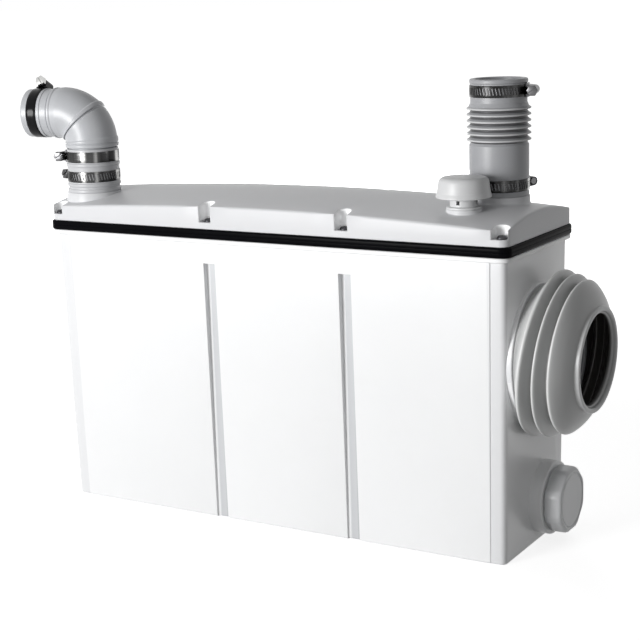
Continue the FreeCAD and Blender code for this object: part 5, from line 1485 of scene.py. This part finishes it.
def band_cell(name, radius, slotted):
    """One cell of a band round Z, with its slot: both faces and the walls between them."""
    half = math.pi * radius / CLAMP_CELLS
    frame_line = [(-half, v) for v in reversed(BAND_LEVELS)] + [(half, v) for v in BAND_LEVELS]
    slot_line = []
    if slotted:
        straight = (SLOT_LONG - SLOT_WIDE) / 2
        for end in (-1, 1):
            for step in range(SLOT_STEPS + 1):
                turn = math.pi * step / SLOT_STEPS + (math.pi if end < 0 else 0)
                u = SLOT_WIDE / 2 * math.cos(turn)
                v = SLOT_WIDE / 2 * math.sin(turn) + end * straight
                slot_line.append((u * math.cos(SLOT_SLANT) - v * math.sin(SLOT_SLANT),
                                  u * math.sin(SLOT_SLANT) + v * math.cos(SLOT_SLANT)
                                  + CLAMP_WIDE / 2))
    spots = frame_line + slot_line
    edges = [(number, (number + 1) % len(frame_line)) for number in range(len(frame_line))]
    first = len(frame_line)
    edges += [(first + number, first + (number + 1) % len(slot_line))
              for number in range(len(slot_line))]
    found = delaunay_2d_cdt([Vector(spot) for spot in spots], edges, [], 0, CELL_REACH)
    origin = [given[0] for given in found[3]]
    points = []
    for thick in (CLAMP_THICK, 0):
        for u, v in spots:
            edge = max(0, abs(v - CLAMP_WIDE / 2) - CLAMP_WIDE / 2 + BAND_BEVEL) / BAND_BEVEL
            out = radius + thick - (BAND_BEVEL_DEEP * edge if thick else 0)
            points.append(Vector((out * math.cos(u / radius), out * math.sin(u / radius), v))
                          * MM)
    faces = []
    count = len(spots)
    for triangle in found[2]:
        corners = [origin[number] for number in triangle]
        middle = sum((Vector(spots[number]) for number in corners), Vector((0, 0))) / 3
        if slotted and inside(middle, slot_line):
            continue
        faces.append(corners)
        faces.append([number + count for number in reversed(corners)])
    walls = [(len(BAND_LEVELS) - 1, len(BAND_LEVELS)), (len(frame_line) - 1, 0)]
    walls += [(first + number, first + (number + 1) % len(slot_line))
              for number in range(len(slot_line))]
    for one, other in walls:
        faces.append((one, other, other + count, one + count))
    mesh = bpy.data.meshes.new(name)
    mesh.from_pydata(points, [], faces)
    return shown(name, mesh)


def band_from(start, wish):
    """Cells turned round the band's axis, slotted over one stretch and plain elsewhere."""
    cells = start.node("GeometryNodePoints", None, {"Count": wish["Cells"]})
    number = start.node("GeometryNodeInputIndex")
    turn = start.node("FunctionNodeEulerToRotation", None, {
        0: start.node("ShaderNodeCombineXYZ", None, {2: number * wish["Step"]})})
    plain = start.node("FunctionNodeCompare", {"data_type": "INT", "operation": "GREATER_EQUAL"},
                       {2: number, 3: wish["Slots"]})
    kinds = start.node("GeometryNodeJoinGeometry")
    for wished, chosen in (("Plain", plain),
                           ("Slotted", start.node("FunctionNodeBooleanMath",
                                                  {"operation": "NOT"}, {0: plain}))):
        pattern = start.node("GeometryNodeObjectInfo", None, {"Object": wish[wished]}, 4)
        row = start.node("GeometryNodeInstanceOnPoints", None, {
            "Points": cells, "Selection": chosen, "Instance": pattern, "Rotation": turn})
        start.tree.links.new(row.socket, kinds.socket.node.inputs[0])
    real = start.node("GeometryNodeRealizeInstances", None, {"Geometry": kinds})
    whole = start.node("GeometryNodeMergeByDistance", None, {
        "Geometry": real, "Distance": BAND_MERGE})
    return start.node("GeometryNodeSetMaterial", None, {
        "Geometry": whole, "Material": wish["Finish"]})


def joined_pieces(name, parts):
    """One object of several, which are used up. Their materials are kept."""
    whole = bmesh.new()
    materials = []
    for part in parts:
        start = len(whole.faces)
        whole.from_mesh(part.data)
        whole.faces.ensure_lookup_table()
        own = [material for material in part.data.materials]
        for material in own:
            if material not in materials:
                materials.append(material)
        for face in whole.faces[start:]:
            face.material_index = materials.index(own[face.material_index])
        bpy.data.objects.remove(part)
    mesh = bpy.data.meshes.new(name)
    whole.to_mesh(mesh)
    whole.free()
    for material in materials:
        mesh.materials.append(material)
    smoothed(mesh)
    return shown(name, mesh)


def clamp_housing(name, radius):
    """The pressed arch over the worm, its feet bent to lie on the band. In the clamp's own
    frame: the band round Z, the housing out along +X and the worm along Y."""
    seat = radius + CLAMP_THICK
    centre = (CLAMP_WIDE / 2, radius + WORM_UP)
    feet = [[(across, seat + up) for across, up in foot]
            for foot in (ARCH_FIRST_FOOT, ARCH_OTHER_FOOT, ARCH_INNER_FOOT)]
    line = (feet[0] + arc(centre, ARCH_OUTER, 180, 0, ARCH_STEPS) + feet[1]
            + arc(centre, ARCH_INNER, 0, 180, ARCH_STEPS) + feet[2])
    rings = []
    for step in range(HOUSING_STEPS + 1):
        y = HOUSING_LONG * (step / HOUSING_STEPS - 0.5)
        ring = []
        for across, out in line:
            low = max(0.0, 1 - (out - seat) / SAG_FADE)
            sag = min(y * y / (2 * seat), SAG_MOST) * low
            ring.append(Vector((out - sag, y, across)) * MM)
        rings.append(ring)
    return stacked(name, rings, 40)


def hexagon(radius, ease):
    """A hexagon's plan, its corners on the radius and each eased."""
    plan, _ = eased([(radius * math.cos(math.pi * side / 3),
                      radius * math.sin(math.pi * side / 3), ease) for side in range(6)],
                    steps=3)
    return plan


def worm_screw(name, radius):
    """The worm with its thread, and its slotted hex head, in the clamp's own frame."""
    rings = []
    for step in range(WORM_STEPS + 1):
        y = WORM_LONG * step / WORM_STEPS - HOUSING_LONG / 2
        ring = []
        for place in range(WORM_SEGMENTS):
            turn = 2 * math.pi * place / WORM_SEGMENTS
            wave = math.cos(2 * math.pi * y / WORM_PITCH - turn)
            deep = 0.0 if y > THREAD_END else THREAD_DEPTH * (1 - wave) ** THREAD_SHARP
            out = WORM_RADIUS - WORM_SLACK - deep
            ring.append(Vector((radius + WORM_UP + out * math.cos(turn), y,
                                CLAMP_WIDE / 2 + out * math.sin(turn))) * MM)
        rings.append(ring)
    thread = stacked(name + "_thread", rings, 50)
    head_place = Matrix.Translation(
        Vector((radius + WORM_UP, WORM_REACH, CLAMP_WIDE / 2)) * MM) @ (
        Matrix.Rotation(-math.pi / 2, 4, "X"))
    head = prism(name + "_head", hexagon(HEAD_RADIUS, HEAD_EASE), HEAD_LEVELS, head_place, 30)
    carved(head, prism(name + "_slot", HEAD_SLOT, HEAD_SLOT_LEVELS,
                       head_place @ Matrix.Rotation(HEAD_SLOT_TURN, 4, "Z")))
    return carved(thread, head, "UNION")


# Painted reflections: dark and bright bands in the clamp steel's colour stand for what it
# mirrors
REFLECTION_STRETCH = (1.0, 1.0, 0.04)
REFLECTION_SCALE = 75.0
PAINTED_REFLECTION_BANDS = [(0.46, (0.025, 0.025, 0.025, 1)), (0.56, (0.075, 0.075, 0.075, 1)),
           (0.64, (0.50, 0.50, 0.49, 1))]


def painted_reflections(base, spot):
    """Painted reflections: the steel's colour runs from dark to bright in bands across the
    strip, standing for a dark room with bright streaks mirrored in polished strip steel.
    """
    flat = base.node("ShaderNodeVectorMath", {"operation": "MULTIPLY"}, {
        0: spot, 1: REFLECTION_STRETCH})
    wide = base.node("ShaderNodeTexNoise", None, {
        "Vector": flat, "Scale": REFLECTION_SCALE, "Detail": 2.0, "Roughness": 0.5})
    return base.node("ShaderNodeValToRGB", {"stops": PAINTED_REFLECTION_BANDS}, {"Fac": wide})


CLAMP_STEEL = metal("clamp_stainless", (0.56, 0.55, 0.53), 0.24, (0.15, 0.15, 3.0),
                    shade=painted_reflections)
CLAMP_BLACK = moulded("clamp_black_enamel", (0.005, 0.005, 0.006), 0.17, cloud=0.3, peel=0.1,
                      dust=0.004, sheen=0.12)
# Painted shade: the steel housings and worms are painted near black, for the shadow round them
HOUSING_STEEL_PAINTED_SHADE = metal("clamp_housing_steel", (0.10, 0.10, 0.105), 0.30, wear=0.6)
WORM_STEEL_PAINTED_SHADE = metal("worm_steel", (0.16, 0.16, 0.165), 0.30, wear=0.5)
BRIGHT_WORM = metal("worm_bright", (0.62, 0.62, 0.61), 0.25, wear=0.2)


def clamp_place(x, y, z, degrees, flip=False, before=Matrix.Identity(4)):
    """The clamp's own frame in the model, as the hose clamp is set on its pipe."""
    place = before @ Matrix.Translation(Vector((x, y, z)) * MM)
    if flip:
        place = place @ Matrix.Translation((0, 0, CLAMP_WIDE * MM)) @ (
            Matrix.Rotation(math.pi, 4, "X"))
        degrees = -degrees
    return place @ Matrix.Rotation(math.radians(degrees), 4, "Z")


OUTLET_CLAMP_OUT = 46.5
branch_way = elbow_axis @ Matrix.Translation(
    Vector((-OUTLET_CLAMP_OUT, 0, ELBOW_FOOT + ELBOW_RISE + ELBOW_BEND)) * MM) @ (
    Matrix.Rotation(-math.pi / 2, 4, "Y"))
# name, band radius, place, first slotted cell, how many slots, carrying body
CLAMPS = [
    ("riser_clamp", 24.4, clamp_place(-209, -35, 309, 165), 6, 42, "station"),
    ("elbow_clamp", 24.4, clamp_place(-209, -35, 327.6, 195), 40, 8, "station"),
    ("outlet_clamp", 22.8, clamp_place(0, 0, 0, 25, True, branch_way), 40, 8, "elbow"),
    ("sleeve_clamp", 25.5, clamp_place(190.6, 18, 308.5, 60), 6, 42, "station"),
    ("cuff_clamp", 24.2, clamp_place(190.6, 18, 388, 15, True), 6, 42, "station")]
for name, radius, place, first_slot, slots, body in CLAMPS:
    black = name == "outlet_clamp"
    paint = CLAMP_BLACK if black else CLAMP_STEEL
    plain_cell = band_cell("plain_cell", radius, False)
    slot_cell = band_cell("slot_cell", radius, True)
    band = grown(name + "_strip", [], [
        ("Cells", "NodeSocketInt", CLAMP_CELLS), ("Slots", "NodeSocketInt", slots),
        ("Step", "NodeSocketFloat", 2 * math.pi / CLAMP_CELLS),
        ("Plain", "NodeSocketObject", plain_cell), ("Slotted", "NodeSocketObject", slot_cell),
        ("Finish", "NodeSocketMaterial", paint)], band_from)
    bpy.data.objects.remove(plain_cell)
    bpy.data.objects.remove(slot_cell)
    band.data.transform(place @ Matrix.Rotation(2 * math.pi * first_slot / CLAMP_CELLS, 4, "Z"))
    housing = clamp_housing(name + "_arch", radius)
    housing.data.transform(place)
    housing.data.materials.append(paint if black else HOUSING_STEEL_PAINTED_SHADE)
    strap = joined_pieces(name + "_strap", [band, housing])
    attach(strap, body)
    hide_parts(name + "_band", name + "_housing")
    worm = worm_screw(name + "_worm_screw", radius)
    worm.data.transform(place)
    worm.data.materials.append(BRIGHT_WORM if black else WORM_STEEL_PAINTED_SHADE)
    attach(worm, name + "_worm")
    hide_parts(name + "_screw")


# Cable gland: a black moulded gland through the left end of the tank, with a hex flange,
# a narrower rubber insert at its mouth and a domed nut that squeezes it.
GLAND_FACE = 235
GLAND_THREADS = 4
GLAND_PITCH = 1.2
NUT_CHAMFER = 0.1
NUT_EASE = 0.08


def hex_nut(name, radius, low, high, crown_share, bore, place):
    """A hexagon with both ends chamfered and a round bore."""
    levels = [(low, 1 - NUT_CHAMFER), (low + NUT_CHAMFER * radius, 1),
              (high - NUT_CHAMFER * radius, 1), (high, crown_share)]
    nut = prism(name, hexagon(radius, NUT_EASE * radius), levels, place)
    return drilled(nut, name + "_bore", bore * MM, (low - 1) * MM, (high + 1) * MM, 48, place)


gland_line = [(4.6, -17, 0.3), (8, -17, 0.5), (8, -0.1, 0), (9.9, 0, 0.1), (9.9, 4, 0.1),
              (8, 4.1, 0)]
for number in range(GLAND_THREADS):
    gland_line += [(8, 4.9 + number * GLAND_PITCH, 0.1), (7.7, 5.4 + number * GLAND_PITCH, 0.1)]
gland_line += [(8, 9.7, 0.1), (8, 14, 0.6), (4, 14, 0.5), (4, 1, 0.1), (4.6, 0.9, 0)]
gland_mouth = towards(GLAND_PLACE - Vector((GLAND_FACE * MM, 0, 0)), LEFT)
gland = turned("gland_body", in_mm(gland_line), 64, gland_mouth)
carved(gland, hex_nut("gland_flange", 11, 0, 4, 0.93, 9.7, gland_mouth), "UNION")
GLAND_BLACK = moulded("gland_black_plastic", (0.035, 0.036, 0.038), 0.42, cloud=0.15,
                      peel=0.12, dust=0.04)
gland.data.materials.append(GLAND_BLACK)
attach(gland, "station")
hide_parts("cable_gland")
gland_nut = hex_nut("gland_cap_nut", 10.5, 5, 14, 0.8, 8.02, gland_mouth)
gland_nut.data.materials.append(GLAND_BLACK)
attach(gland_nut, "station")
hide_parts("gland_nut")


# Inside the tank: the pump, motor, valve, level switch and electrics keep the shapes of the
# model, each in the finish of its own material.
INNER_PLASTIC = moulded("inner_plastic", (0.09, 0.095, 0.10), 0.45, cloud=0.15, peel=0.15,
                        dust=0.10)
MEMBRANE = moulded("membrane_rubber", (0.03, 0.03, 0.03), 0.55, cloud=0.2, peel=0.15,
                   dust=0.15)
CHARCOAL = moulded("charcoal_foam", (0.012, 0.012, 0.013), 0.9, cloud=0.5, peel=1.0,
                   grain=300.0, dust=0.05)
CAPACITOR_CASE = moulded("capacitor_case", (0.75, 0.75, 0.73), 0.35, cloud=0.05, peel=0.05,
                         dust=0.05)
MOTOR_PAINT = moulded("motor_paint", (0.05, 0.06, 0.08), 0.35, cloud=0.10, peel=0.20,
                      grain=500.0, dust=0.08)
CORE_STEEL = metal("core_steel", (0.30, 0.30, 0.31), 0.42, (0.2, 0.2, 6.0), 0.4)
WINDING_COPPER = metal("winding_copper", (0.55, 0.22, 0.08), 0.30, (0.4, 0.4, 8.0), 0.35)
SHAFT_STEEL = metal("shaft_steel", (0.55, 0.55, 0.55), 0.20, (0.3, 0.3, 5.0), 0.15)

# The level switch's spring stands on the plunger's flange and is pressed against the housing.
SPRING_TURNS = 3.5
SPRING_WIRE = 0.6 * MM
SPRING_STEPS = 40
SPRING_SIDES = 12
spring_low, spring_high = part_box("plunger_spring")
spring_middle = (spring_low + spring_high) / 2
coil_radius = (spring_high.x - spring_low.x) / 2 - SPRING_WIRE
coil_height = spring_high.z - spring_low.z - 2 * SPRING_WIRE
coil_rings = []
coil_count = round(SPRING_TURNS * SPRING_STEPS)
for step in range(coil_count + 1):
    turn = 2 * math.pi * step / SPRING_STEPS
    out = Vector((math.cos(turn), math.sin(turn), 0))
    middle = Vector((spring_middle.x, spring_middle.y, spring_low.z + SPRING_WIRE
                     + coil_height * step / coil_count)) + coil_radius * out
    coil_rings.append([middle + SPRING_WIRE * (across * out + Vector((0, 0, up)))
                       for across, up in arc((0, 0), 1, 0, 360 - 360 / SPRING_SIDES,
                                             SPRING_SIDES - 1)])
spring = stacked("switch_spring", coil_rings, 50)
spring.data.materials.append(SHAFT_STEEL)
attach(spring, "station")
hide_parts("plunger_spring")
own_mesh(spring)

INNER_FINISHES = {
    "fitting_grey": FITTING_GREY, "inner_plastic": INNER_PLASTIC,
    "membrane_rubber": MEMBRANE, "charcoal": CHARCOAL, "capacitor_case": CAPACITOR_CASE,
    "motor_paint": MOTOR_PAINT, "core_steel": CORE_STEEL, "winding_copper": WINDING_COPPER,
    "shaft_steel": SHAFT_STEEL}
INNER_SLOTS = {
    "fitting_grey": ("discharge_riser", "switch_plunger"),
    "inner_plastic": ("macerator_basket", "suction_plate", "pump_volute", "impeller",
                      "valve_body", "valve_flap", "air_bell", "dry_box", "pressure_switch",
                      "microswitch", "terminal_block"),
    "membrane_rubber": ("low_inlet_washer", "shaft_seal", "diaphragm"),
    "charcoal": ("vent_filter",),
    "capacitor_case": ("capacitor",),
    "motor_paint": ("motor_can", "motor_cap"),
    "core_steel": ("stator_core", "rotor_core"),
    "winding_copper": ("stator_windings",),
    "shaft_steel": ("macerator_blade", "blade_nut", "motor_shaft", "shaft_bearings",
                    "valve_pin", "capacitor_clip")}
for slot, inner_nodes in INNER_SLOTS.items():
    for inner in inner_nodes:
        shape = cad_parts[inner].data
        shape.materials.clear()
        shape.materials.append(INNER_FINISHES[slot])
